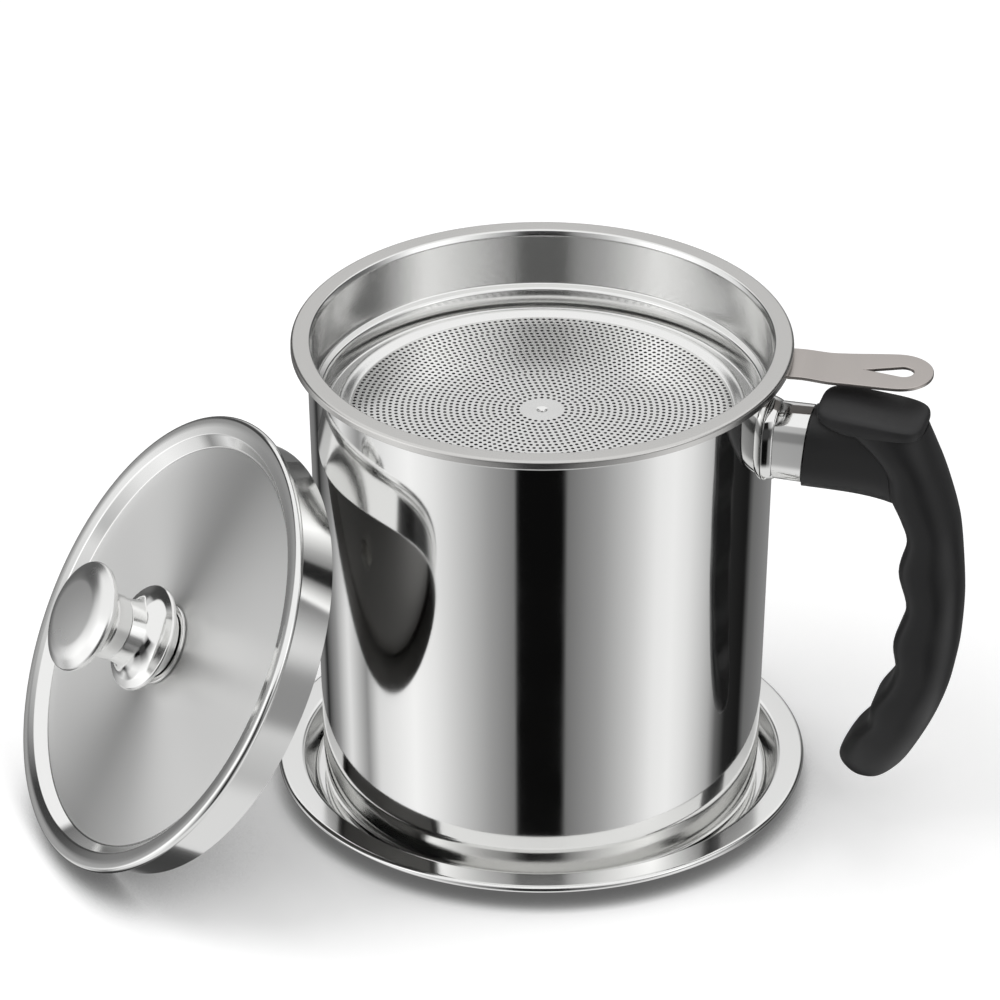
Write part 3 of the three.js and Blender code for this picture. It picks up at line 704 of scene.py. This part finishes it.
plate = {
    "sheet": 0.45,
    "solidSheet": 0.6,                  # thickness of the solid that it replaces, whose top it keeps
    "firstRing": 6.3,                   # millimetres from the middle
    "lastRing": 48.9,
    "ringPitch": 1.58,
    "holePitch": 1.62,
    "holeRadius": 0.5,
    "bandShare": 0.8,                   # how much of the pitch a ring of holes takes
    "plainShare": 0.6,                  # of a pitch, from the first ring in to the plain middle
    "edgeSegments": 192,
    "middleSegments": 32,
    # the dimple that the punch leaves, from its rim inwards: distance from the middle, depth
    "dimple": ((1.7, 0.0), (1.5, 0.0), (1.2, 0.12), (0.85, 0.6), (0.6, 0.95)),
    # the plain margin, outwards: distance from the middle, height over the pierced part
    "margin": (
        (49.9, 0.0), (50.3, 0.08), (51.0, 0.45), (51.7, 0.87), (52.2, 1.1), (52.6, 1.18), (52.95, 1.08),
        (53.2, 0.8), (53.3, 0.3), (53.35, -0.2),
    ),
    "roughness": 0.2,
    # dark grey for the walls of the holes and the plate's rim: painted shade in the holes
    "holeShadeColour": "5E5D5A",
    "edgeRoughness": 0.5,
}


def plateLoop(bm, distance, height, count, offset=0.0):
    # a closed loop round the axis; gives back its points in order
    reach = distance * mm
    turns = [2 * math.pi * (i + offset) / count for i in range(count)]
    return [bm.verts.new((reach * math.cos(turn), reach * math.sin(turn), height * mm)) for turn in turns]


def stitchLoops(bm, inner, outer):
    # triangles between two loops of points that both run round the axis from about the same side
    i = j = 0
    while i < len(inner) or j < len(outer):
        corners = [inner[i % len(inner)], outer[j % len(outer)]]
        if (i + 1) * len(outer) <= (j + 1) * len(inner):
            i += 1
            corners.append(inner[i % len(inner)])
        else:
            j += 1
            corners.append(outer[j % len(outer)])
        bm.faces.new(corners)


def bandOfHoles(bm, radius):
    # a row of hexagonal holes in a band of sheet; gives back the points of the band's two borders
    sides = 6                           # of a hole, and points on its band's borders round it
    count = round(2 * math.pi * radius / plate["holePitch"])
    half = plate["ringPitch"] * plate["bandShare"] / 2
    inner, middle, outer = (plateLoop(bm, radius + grow, 0, count, 0.5) for grow in (-half, 0, half))
    corners = []
    for step in range(sides):
        turn = 2 * math.pi * (step + 0.5) / sides
        along = radius + plate["holeRadius"] * math.cos(turn)
        across = plate["holeRadius"] * math.sin(turn)
        offset = math.atan2(across, along) * count / (2 * math.pi)
        corners.append(plateLoop(bm, math.hypot(along, across), 0, count, offset))
    for i in range(count):
        border = (outer[i], middle[i], inner[i], inner[i - 1], middle[i - 1], outer[i - 1])
        for k in range(sides):
            after = (k + 1) % sides
            bm.faces.new((corners[k][i], border[k], border[after], corners[after][i]))
    return inner, outer


def makePlate():
    bm = bmesh.new()
    plainReach = plate["firstRing"] - plate["ringPitch"] * plate["plainShare"]
    loops = []
    for distance, depth in plate["dimple"][::-1] + ((plainReach, 0),):
        loops.append(plateLoop(bm, distance, -depth, plate["middleSegments"]))
    plainLoops = len(loops)
    rings = round((plate["lastRing"] - plate["firstRing"]) / plate["ringPitch"]) + 1
    for i in range(rings):
        loops.extend(bandOfHoles(bm, plate["firstRing"] + plate["ringPitch"] * i))
    for distance, height in plate["margin"]:
        loops.append(plateLoop(bm, distance, height, plate["edgeSegments"]))
    for i in range(len(loops) - 1):
        acrossBand = plainLoops <= i < plainLoops + 2 * rings and (i - plainLoops) % 2 == 0
        if not acrossBand:
            stitchLoops(bm, loops[i], loops[i + 1])
    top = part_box("strainer_plate")[0].z + plate["solidSheet"] * mm
    bmesh.ops.translate(bm, verts=bm.verts[:], vec=(0, 0, top - plate["sheet"] / 2 * mm))
    bmesh.ops.recalc_face_normals(bm, faces=bm.faces[:])
    material = satinSteel("satin stainless, perforated plate", plate["roughness"])
    piece = makePiece("plateForm", bm, "strainer", material, ["strainer_plate"], False)
    for polygon in piece.data.polygons:
        distance = polygon.center.xy.length / mm
        polygon.use_smooth = not plate["dimple"][0][0] < distance < plate["margin"][0][0]
    # the walls of the holes and the plate's rim take the dark grey: painted shade, so that the holes show
    # dark
    piece.data.materials.append(
        plainSteel("pierced edge, perforated plate", plate["holeShadeColour"], plate["edgeRoughness"]),
    )
    addThickness(piece, plate["sheet"]).material_offset_rim = 1


makeStrainerCup()
makePlate()
print("strainer spun and pierced")


tab = {
    "sheet": 1.0,
    "turn": 7.7,                        # degrees from the handle
    "root": 64.1,
    "tip": 101.3,
    "rootWidth": 15.2,
    "width": 18.4,
    "neckLength": 11,
    "bellyShare": 1.25,                 # length of its round end, as a share of half its width
    "tipShare": 0.985,                  # how much of half its width the bends at the tip take up
    "tipSegments": 24,
    "sideBend": 7,
    "sideSegments": 8,
    "slotPoint": 83.4,
    "slotEnd": 96.2,
    "slotWidth": 5.4,
    "slotSegments": 32,
    "rootRise": 0.8,                    # its welded end reaches up to the flange's lip
    "riseEnd": 2,                       # millimetres from the root up to which it keeps that height
    "riseLength": 10,
    "riseCuts": (66, 68, 70, 72, 74, 76),
    "edge": 0.22,
    "colour": "C4BEBA",
    "roughness": 0.36,
}


def addTabSlot(bm):
    # a circle whose inner side is drawn out to a point
    half = tab["slotWidth"] / 2
    centre = tab["slotEnd"] - half
    slot = bmesh.ops.create_circle(
        bm, cap_ends=False, segments=tab["slotSegments"], radius=half * mm,
        matrix=Matrix.Translation((centre * mm, 0, 0)),
    )["verts"]
    lean = math.asin(half / (centre - tab["slotPoint"]))
    touch = centre - half * math.sin(lean)
    for vert in slot:
        behind = touch - vert.co.x / mm
        if behind > 0:
            share = behind / (touch - centre + half)
            vert.co.x = (touch - share * (touch - tab["slotPoint"])) * mm
            vert.co.y = math.copysign(half * math.cos(lean) * (1 - share), vert.co.y) * mm


def makeTab():
    bm = bmesh.new()
    half = tab["width"] / 2
    rootHalf = tab["rootWidth"] / 2
    neck = tab["root"] + tab["neckLength"]
    belly = tab["tip"] - half * tab["bellyShare"]
    outline = [
        (tab["root"], -rootHalf), (neck, -rootHalf), (belly, -half), (tab["tip"], -half),
        (tab["tip"], half), (belly, half), (neck, rootHalf), (tab["root"], rootHalf),
    ]
    verts = [bm.verts.new((x * mm, y * mm, 0)) for x, y in outline]
    bm.faces.new(verts)
    tipBend = half * tab["tipShare"]
    for numbers, bend, segments in (
        ((3, 4), tipBend, tab["tipSegments"]), ((1, 2, 5, 6), tab["sideBend"], tab["sideSegments"]),
    ):
        for i in numbers:
            bmesh.ops.bevel(
                bm, geom=[verts[i]], offset=bend * mm, segments=segments, profile=0.5, affect="VERTICES",
                material=-1,
            )
    bmesh.ops.delete(bm, geom=bm.faces[:], context="FACES_ONLY")
    addTabSlot(bm)
    bmesh.ops.triangle_fill(bm, use_beauty=True, use_dissolve=False, edges=bm.edges[:])
    bmesh.ops.triangulate(bm, faces=bm.faces[:])
    for x in tab["riseCuts"]:
        bmesh.ops.bisect_plane(
            bm, geom=bm.verts[:] + bm.edges[:] + bm.faces[:], plane_co=(x * mm, 0, 0), plane_no=(1, 0, 0),
        )
    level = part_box("strainer_tab")[1].z - tab["sheet"] / 2 * mm
    for vert in bm.verts:
        along = (vert.co.x / mm - tab["root"] - tab["riseEnd"]) / tab["riseLength"]
        share = 1 - min(max(along, 0), 1)
        vert.co.z = level + tab["rootRise"] * mm * share * share * (3 - 2 * share)
    bmesh.ops.recalc_face_normals(bm, faces=bm.faces[:])
    bmesh.ops.transform(bm, matrix=Matrix.Rotation(math.radians(tab["turn"]), 4, "Z"), verts=bm.verts[:])
    material = satinSteel("satin stainless, lifting tab", tab["roughness"], colour=tab["colour"])
    piece = makePiece("tabForm", bm, "strainer", material, ["strainer_tab"])
    addWall(piece, tab["sheet"], tab["edge"])


makeTab()
print("tab cut")


# the lid's own frame: its axis is the joint's, and its heights count from the folded edge's middle

lid = {
    "sheet": 0.6,
    "radius": 61.8,
    "hemRadius": 1.2,
    "hemShare": 0.98,                   # how much of the folded edge its bends take up
    "skirtInset": 3.0,
    "skirtDepth": 12.3,
    "skirtTaper": 0.3,
    "skirtBend": 1.0,
    "stepWidth": 5.0,
    "slopeWidth": 2.6,
    "slopeBend": 0.9,
    "sink": 3.0,
    "crown": 1.2,
    "domeSteps": 24,
    "rollWidth": 2.4,                   # the part of the rolled rim that slopes inwards
    "rollFall": 0.45,                   # and how far it falls
    "rollBend": 7.0,
    "rollFootBend": 0.8,
    "screwHole": 2.2,
    "roughness": 0.42,
    "anisotropy": 0.9,
    "buffedReach": 0.5,                 # how far the buffed rim reaches in past the slope's foot
    # the inside is unpolished steel with a duller roughness; its darker grey is painted shade, where the lid
    # faces the pot
    "insideShadeColour": "8C8B89",
    "insideRoughness": 0.4,
}
knob = {
    "gap": 0.3,
    "baseRadius": 10.8,
    "baseThickness": 0.8,
    "baseBends": (0.15, 0.35),
    "drumRadius": 9.5,
    "drumHeight": 4.0,
    "lipRadius": 14.2,
    "lipThickness": 1.2,
    "collarHeight": 13.6,
    "collarTop": 8.1,
    "collarWaist": (1.2, 1.6),          # outwards from the collar's top, upwards from its lip
    "collarBends": (0.3, 1.2, 0.5, 0.6, 5.0, 0.25),
    "neckHeight": 8.4,
    "neckRoot": 8.5,
    "neckTop": 13.4,
    "neckWaist": (0.4, 2.4),            # outwards from the neck's root, downwards from its top
    "neckBends": (0.25, 5.5, 0.2),
    "capRadius": 15.0,
    "capBack": 14.2,
    "capEdge": 1.8,
    "capHeight": 4.8,
    "capShoulderShare": 0.72,           # how far out the cap starts to fall
    "capFall": 0.5,
    "capBends": (0.4, 1.0, 9.0),
    "coarseArc": 0.3,
    "fineArc": 0.08,
    "roughness": 0.11,
    "capRoughness": 0.26,
}
discTop = lid["hemRadius"] - lid["sink"] + lid["crown"]
baseStart = discTop + knob["gap"]
baseEnd = baseStart + knob["baseThickness"]
collarStart = baseEnd + knob["gap"]
collarEnd = collarStart + knob["collarHeight"]
neckStart = collarEnd + knob["gap"]
neckEnd = neckStart + knob["neckHeight"]
capStart = neckEnd + knob["gap"]


def lidPlace():
    # from the lid's own frame to the object's
    joint = next(j for j in frame["record"]["behaviour"]["joints"] if j["name"] == "lid_away")
    axis = Vector(joint["axis"]).normalized()
    low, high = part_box("knob_base")
    ringMiddle = (low + high) / 2
    centre = ringMiddle - axis * (baseStart + baseEnd) / 2 * mm
    sideways = Vector((0, 0, 1)).cross(axis).normalized()
    downhill = sideways.cross(axis)
    turned = Matrix((downhill, sideways, axis)).transposed().to_4x4()
    return Matrix.Translation(centre) @ turned


lidMatrix = lidPlace()


def lidPiece(name, corners, material, node, arcStep=meshing["arcStep"]):
    bm = spunForm(corners, arcStep)
    bmesh.ops.transform(bm, matrix=lidMatrix, verts=bm.verts[:])
    return makePiece(name, bm, "lid", material, [node])


def makeLid():
    half = lid["sheet"] / 2
    hem = lid["hemRadius"] - half
    hemBend = hem * lid["hemShare"]
    slopeTop = lid["radius"] - lid["stepWidth"]
    edge = lid["radius"] - half
    skirt = lid["radius"] - lid["skirtInset"] - half
    discEdge = lid["hemRadius"] - lid["sink"] - half
    reach = slopeTop - lid["slopeWidth"]
    dome = []
    for i in range(lid["domeSteps"]):
        distance = lid["screwHole"] + (reach - lid["screwHole"]) * i / lid["domeSteps"]
        dome.append((distance, discEdge + lid["crown"] * (1 - (distance / reach) ** 2)))
    material = satinSteel(
        "satin-ground stainless, lid", lid["roughness"], lidMatrix, anisotropy=lid["anisotropy"],
        buffedFrom=reach - lid["buffedReach"],
    )
    piece = lidPiece("lidForm", dome + [
        (reach, discEdge, lid["slopeBend"]),
        (slopeTop, hem - lid["rollFall"], lid["rollFootBend"]),
        (slopeTop + lid["rollWidth"], hem, lid["rollBend"]),
        (edge, hem, hemBend),
        (edge, -hem, hemBend),
        (skirt, -hem, lid["skirtBend"]),
        (skirt - lid["skirtTaper"], -lid["skirtDepth"]),
    ], material, "lid_shell")
    # the inside of the lid: duller unpolished steel, darkened with painted shade
    piece.data.materials.append(
        plainSteel("unpolished stainless with painted shade, inside of the lid", lid["insideShadeColour"], lid["insideRoughness"]),
    )
    addWall(piece, lid["sheet"]).material_offset = 1


def knobBase():
    low, high = knob["baseBends"]
    return [
        (0, baseStart),
        (knob["baseRadius"], baseStart, low),
        (knob["baseRadius"], baseEnd, high),
        (0, baseEnd),
    ]


def knobCollar():
    foot, crotch, lipLow, lipHigh, waist, top = knob["collarBends"]
    lipStart = collarStart + knob["drumHeight"]
    lipTop = lipStart + knob["lipThickness"]
    outwards, upwards = knob["collarWaist"]
    return [
        (0, collarStart),
        (knob["drumRadius"], collarStart, foot),
        (knob["drumRadius"], lipStart, crotch),
        (knob["lipRadius"], lipStart, lipLow),
        (knob["lipRadius"], lipTop, lipHigh),
        (knob["collarTop"] + outwards, lipTop + upwards, waist),
        (knob["collarTop"], collarEnd, top),
        (0, collarEnd),
    ]


def knobNeck():
    foot, waist, top = knob["neckBends"]
    outwards, downwards = knob["neckWaist"]
    return [
        (0, neckStart),
        (knob["neckRoot"], neckStart, foot),
        (knob["neckRoot"] + outwards, neckEnd - downwards, waist),
        (knob["neckTop"], neckEnd, top),
        (0, neckEnd),
    ]


def knobCap():
    back, edge, shoulder = knob["capBends"]
    top = capStart + knob["capHeight"]
    return [
        (0, capStart),
        (knob["capBack"], capStart, back),
        (knob["capRadius"], capStart + knob["capEdge"], edge),
        (knob["capRadius"] * knob["capShoulderShare"], top - knob["capFall"], shoulder),
        (0, top),
    ]


def makeKnob():
    polished = mirrorSteel("mirror-buffed stainless, knob", lidMatrix, knob["roughness"])
    soft = mirrorSteel("softly buffed stainless, knob cap", lidMatrix, knob["capRoughness"])
    for name, corners, material, node, arcStep in (
        ("knobBase", knobBase(), polished, "knob_base", knob["coarseArc"]),
        ("knobCollar", knobCollar(), polished, "knob_collar", meshing["arcStep"]),
        ("knobNeck", knobNeck(), polished, "knob_neck", meshing["arcStep"]),
        ("knobCap", knobCap(), soft, "knob_cap", knob["fineArc"]),
    ):
        addShading(lidPiece(name, corners, material, node, arcStep))


makeLid()
makeKnob()
print("lid and knob turned")


# rings of points joined into a skin, for the moulded and pressed pieces

def squareRing(count, halfLength, halfWidth, front, rear):
    # a rounded outline; a higher number makes that end squarer
    points = []
    for i in range(count):
        c, s = math.cos(2 * math.pi * i / count), math.sin(2 * math.pi * i / count)
        power = 2 / (rear if c > 0 else front)
        along = halfLength * math.copysign(abs(c) ** power, c)
        points.append((along, halfWidth * math.copysign(abs(s) ** power, s)))
    return points


def loft(rings):
    bm = bmesh.new()
    loops = []
    for ring in rings:
        verts = [bm.verts.new(Vector(point) * mm) for point in ring]
        loops.append([bm.edges.new(pair) for pair in zip(verts, verts[1:] + verts[:1])])
    for first, second in zip(loops, loops[1:]):
        bmesh.ops.bridge_loops(bm, edges=first + second)
    bmesh.ops.holes_fill(bm, edges=loops[0] + loops[-1], sides=0)
    bmesh.ops.recalc_face_normals(bm, faces=bm.faces[:])
    return bm


def eased(rows, steps):
    # rows of numbers, with smooth in-between rows
    out = []
    for i in range(len(rows) - 1):
        before, start, end, after = (rows[min(max(k, 0), len(rows) - 1)] for k in (i - 1, i, i + 1, i + 2))
        for step in range(steps):
            t = step / steps
            row = []
            for a, b, c, d in zip(before, start, end, after):
                bend = 2 * a - 5 * b + 4 * c - d
                twist = 3 * b - a - 3 * c + d
                row.append(0.5 * (2 * b + (c - a) * t + bend * t * t + twist * t ** 3))
            out.append(row)
    return out + [list(rows[-1])]


def keepSharp(bm, degrees):
    for edge in bm.edges:
        if len(edge.link_faces) == 2 and edge.calc_face_angle(0) > math.radians(degrees):
            edge.smooth = False


def joinedMesh(first, second):
    # the outer skin of two overlapping bodies
    bodies = []
    for i, bm in enumerate((first, second)):
        mesh = bpy.data.meshes.new("body%d" % i)
        bm.to_mesh(mesh)
        bm.free()
        bodies.append(bpy.data.objects.new("body%d" % i, mesh))
        bpy.context.collection.objects.link(bodies[-1])
    union = bodies[0].modifiers.new("union", "BOOLEAN")
    union.operation = "UNION"
    union.solver = "EXACT"
    union.object = bodies[1]
    evaluated = bodies[0].evaluated_get(bpy.context.evaluated_depsgraph_get())
    bm = bmesh.new()
    bm.from_mesh(evaluated.to_mesh())
    for body in bodies:
        mesh = body.data
        bpy.data.objects.remove(body)
        bpy.data.meshes.remove(mesh)
    return bm


def middleOfFerrule():
    low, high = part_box("ferrule")
    return (low.z + high.z) / 2 / mm


ferrule = {
    "sides": 96,
    "sheet": 0.8,
    "width": 14.4,
    "tall": 20.2,
    "drop": 0.8,
    "square": 2.8,                      # how square its section is
    "mouthLean": 0.1,                   # how much further its top reaches than its underside
    "mouthGrow": 0.1,
    "wallGap": 0.05,
    # its skirt, from the wall outwards: how far it stands round the sleeve, how far it is from the wall
    "skirt": (
        (0.75, 0.0), (0.85, 0.15), (0.85, 0.35), (0.78, 0.8), (0.62, 1.4), (0.4, 2.0), (0.22, 2.4),
        (0.12, 2.6), (-0.08, 2.68), (-0.08, 2.8), (0.0, 2.9),
    ),
    "insideStart": 0.2,                 # where the sleeve's inside starts, from the wall
    "weld": 0.01,
    "edge": 0.15,
    "roughness": 0.07,
}


def makeFerrule():
    middle = middleOfFerrule() - ferrule["drop"]
    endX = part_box("ferrule")[1].x / mm
    sheet = ferrule["sheet"]
    grown = ferrule["mouthGrow"]
    # no distance means the end at the grip
    plan = ferrule["skirt"] + ((grown, None), (grown - sheet, None), (-sheet, ferrule["insideStart"]))
    rings = []
    for grow, out in plan:
        outline = squareRing(
            ferrule["sides"], ferrule["tall"] / 2 + grow, ferrule["width"] / 2 + grow, ferrule["square"],
            ferrule["square"],
        )
        ring = []
        for z, y in outline:
            wall = wallRadius(middle + z) + ferrule["wallGap"]
            x = endX + ferrule["mouthLean"] * z if out is None else math.sqrt((wall + out) ** 2 - y * y)
            ring.append((x, y, middle + z))
        rings.append(ring)
    bm = loft(rings + rings[:1])
    bmesh.ops.remove_doubles(bm, verts=bm.verts[:], dist=ferrule["weld"] * mm)
    bmesh.ops.recalc_face_normals(bm, faces=bm.faces[:])
    material = mirrorSteel("mirror-buffed stainless, ferrule", roughness=ferrule["roughness"])
    piece = makePiece("ferruleForm", bm, "pot", material, ["ferrule"])
    roundEdges(piece, ferrule["edge"])


makeFerrule()
print("ferrule pressed")


grip = {
    "sides": 64,
    "stepsBetweenRows": 6,
    "backSquare": 2.3,                  # how square its back is
    "armSteps": 12,
    "armStart": 71.2,
    "armEnd": 96.5,
    "armWidth": 15.4,
    "armTall": 21.4,
    "armHaunch": 2.6,                   # how far its underside falls to the crotch
    "haunchPower": 4,                   # how late it falls
    "armSquare": 2.9,
    "armDrop": 1.15,                    # how much lower it sits than the ferrule's place
    # from the thumb pad to the toe: back x and z, finger side x and z, width, squareness of the finger side
    "rows": (
        (102.2, 118.5, 80.8, 118.5, 18.8, 3.0),
        (104.3, 113.0, 87.6, 113.2, 19.6, 3.2),
        (106.6, 107.2, 92.0, 107.6, 19.6, 3.4),
        (108.6, 101.4, 93.4, 101.2, 19.6, 4.0),
        (110.2, 95.6, 96.6, 95.0, 19.6, 5.0),
        (111.3, 90.0, 98.6, 88.6, 19.6, 5.5),
        (112.3, 80.6, 96.7, 79.4, 19.6, 6.0),
        (112.8, 69.6, 99.0, 69.0, 19.6, 6.0),
        (112.2, 58.0, 95.9, 58.2, 19.6, 6.0),
        (110.9, 49.6, 96.6, 50.4, 19.4, 6.0),
        (109.3, 42.4, 94.4, 43.8, 19.0, 6.0),
        (106.6, 34.8, 90.4, 37.6, 18.4, 5.5),
        (103.0, 27.2, 89.4, 32.4, 17.4, 5.0),
        (98.4, 19.4, 85.2, 27.4, 15.8, 4.0),
        (93.0, 14.2, 82.6, 23.0, 13.0, 3.0),
        (88.4, 13.2, 81.3, 19.4, 9.0, 2.4),
        (85.4, 13.9, 81.6, 17.2, 4.6, 2.2),
    ),
    "sharpAngle": 38,                   # degrees over which the crease between arm and grip stays sharp
    "colour": "161617",
    "roughness": 0.42,
    "grainStrength": 0.35,
}


def gripBody():
    rings = []
    for backX, backZ, frontX, frontZ, width, square in eased(grip["rows"], grip["stepsBetweenRows"]):
        back, front = Vector((backX, 0, backZ)), Vector((frontX, 0, frontZ))
        middle = (back + front) / 2
        through = back - front
        outward = through.normalized()
        outline = squareRing(grip["sides"], through.length / 2, width / 2, square, grip["backSquare"])
        rings.append([middle + outward * along + Vector((0, across, 0)) for along, across in outline])
    return loft(rings)


def gripArm():
    middle = middleOfFerrule() - grip["armDrop"]
    top = middle + grip["armTall"] / 2
    rings = []
    for i in range(grip["armSteps"] + 1):
        share = i / grip["armSteps"]
        x = grip["armStart"] + (grip["armEnd"] - grip["armStart"]) * share
        bottom = middle - grip["armTall"] / 2 - grip["armHaunch"] * share ** grip["haunchPower"]
        outline = squareRing(
            grip["sides"], (top - bottom) / 2, grip["armWidth"] / 2, grip["armSquare"], grip["armSquare"],
        )
        lean = ferrule["mouthLean"] * (1 - share)
        rings.append([(x + lean * up, across, (top + bottom) / 2 + up) for up, across in outline])
    return loft(rings)


def makeGrip():
    bm = joinedMesh(gripBody(), gripArm())
    keepSharp(bm, grip["sharpAngle"])
    material = blackPlastic(
        "matte black nylon, grip", grip["colour"], grip["roughness"], grip["grainStrength"],
    )
    makePiece("gripForm", bm, "pot", material, ["handle_grip"])


thumbPad = {
    "sides": 96,
    "stepsBetweenRows": 3,
    "length": 28.2,
    "width": 19.4,
    "leastHalfWidth": 0.3,
    "square": 4.2,
    "noseX": 73.6,
    "base": 118.3,
    "fall": 2.6,                        # how far its top falls to the back
    "fallPower": 1.4,
    # height, how far the edge is drawn in, how much further at the nose
    "rows": (
        (0.0, 0.5, 5.0), (0.3, 0.25, 4.0), (1.2, 0.1, 2.0), (2.2, 0.0, 0.7), (3.2, 0.0, 0.1),
        (4.2, 0.1, 0.0), (4.8, 0.4, 0.0), (5.2, 0.95, 0.0), (5.45, 1.9, 0.0), (5.58, 4.0, 0.0),
        (5.66, 7.0, 0.0), (5.7, 9.2, 0.0),
    ),
    "colour": "1B1B1C",
    "roughness": 0.52,
    "grainStrength": 0.6,
}


def makeThumbPad():
    square = thumbPad["square"]
    tallest = thumbPad["rows"][-1][0]
    rings = []
    for height, drawn, undercut in eased(thumbPad["rows"], thumbPad["stepsBetweenRows"]):
        start = thumbPad["noseX"] + drawn + undercut
        end = thumbPad["noseX"] + thumbPad["length"] - drawn
        halfWidth = max(thumbPad["width"] / 2 - drawn, thumbPad["leastHalfWidth"])
        ring = []
        for along, across in squareRing(thumbPad["sides"], (end - start) / 2, halfWidth, square, square):
            x = (start + end) / 2 + along
            share = max((x - thumbPad["noseX"]) / thumbPad["length"], 0)
            fall = thumbPad["fall"] * share ** thumbPad["fallPower"] * height / tallest
            ring.append((x, across, thumbPad["base"] + height - fall))
        rings.append(ring)
    material = blackPlastic(
        "grained black nylon, thumb pad", thumbPad["colour"], thumbPad["roughness"],
        thumbPad["grainStrength"],
    )
    makePiece("padForm", loft(rings), "pot", material, ["thumb_pad"])


makeGrip()
makeThumbPad()
print("handle moulded")


# the fasteners and the bracket keep their shape and get their finish

fasteners = {
    "nodes": ("handle_screw", "handle_washer", "knob_screw", "knob_washer"),
    "colour": "B9B8B4",
    "roughness": 0.32,
    "bracketColour": "A8A7A4",
    "bracketRoughness": 0.42,
}


def finishFasteners():
    zinc = plainSteel("zinc-plated machine steel", fasteners["colour"], fasteners["roughness"])
    plain = plainSteel(
        "plain machined steel, bracket", fasteners["bracketColour"], fasteners["bracketRoughness"],
    )
    steels = dict.fromkeys(fasteners["nodes"], zinc)
    steels["handle_bracket"] = plain
    for name, material in steels.items():
        node = frame["nodes"][name]
        node.data.materials.clear()
        node.data.materials.append(material)


finishFasteners()
print("fasteners finished")
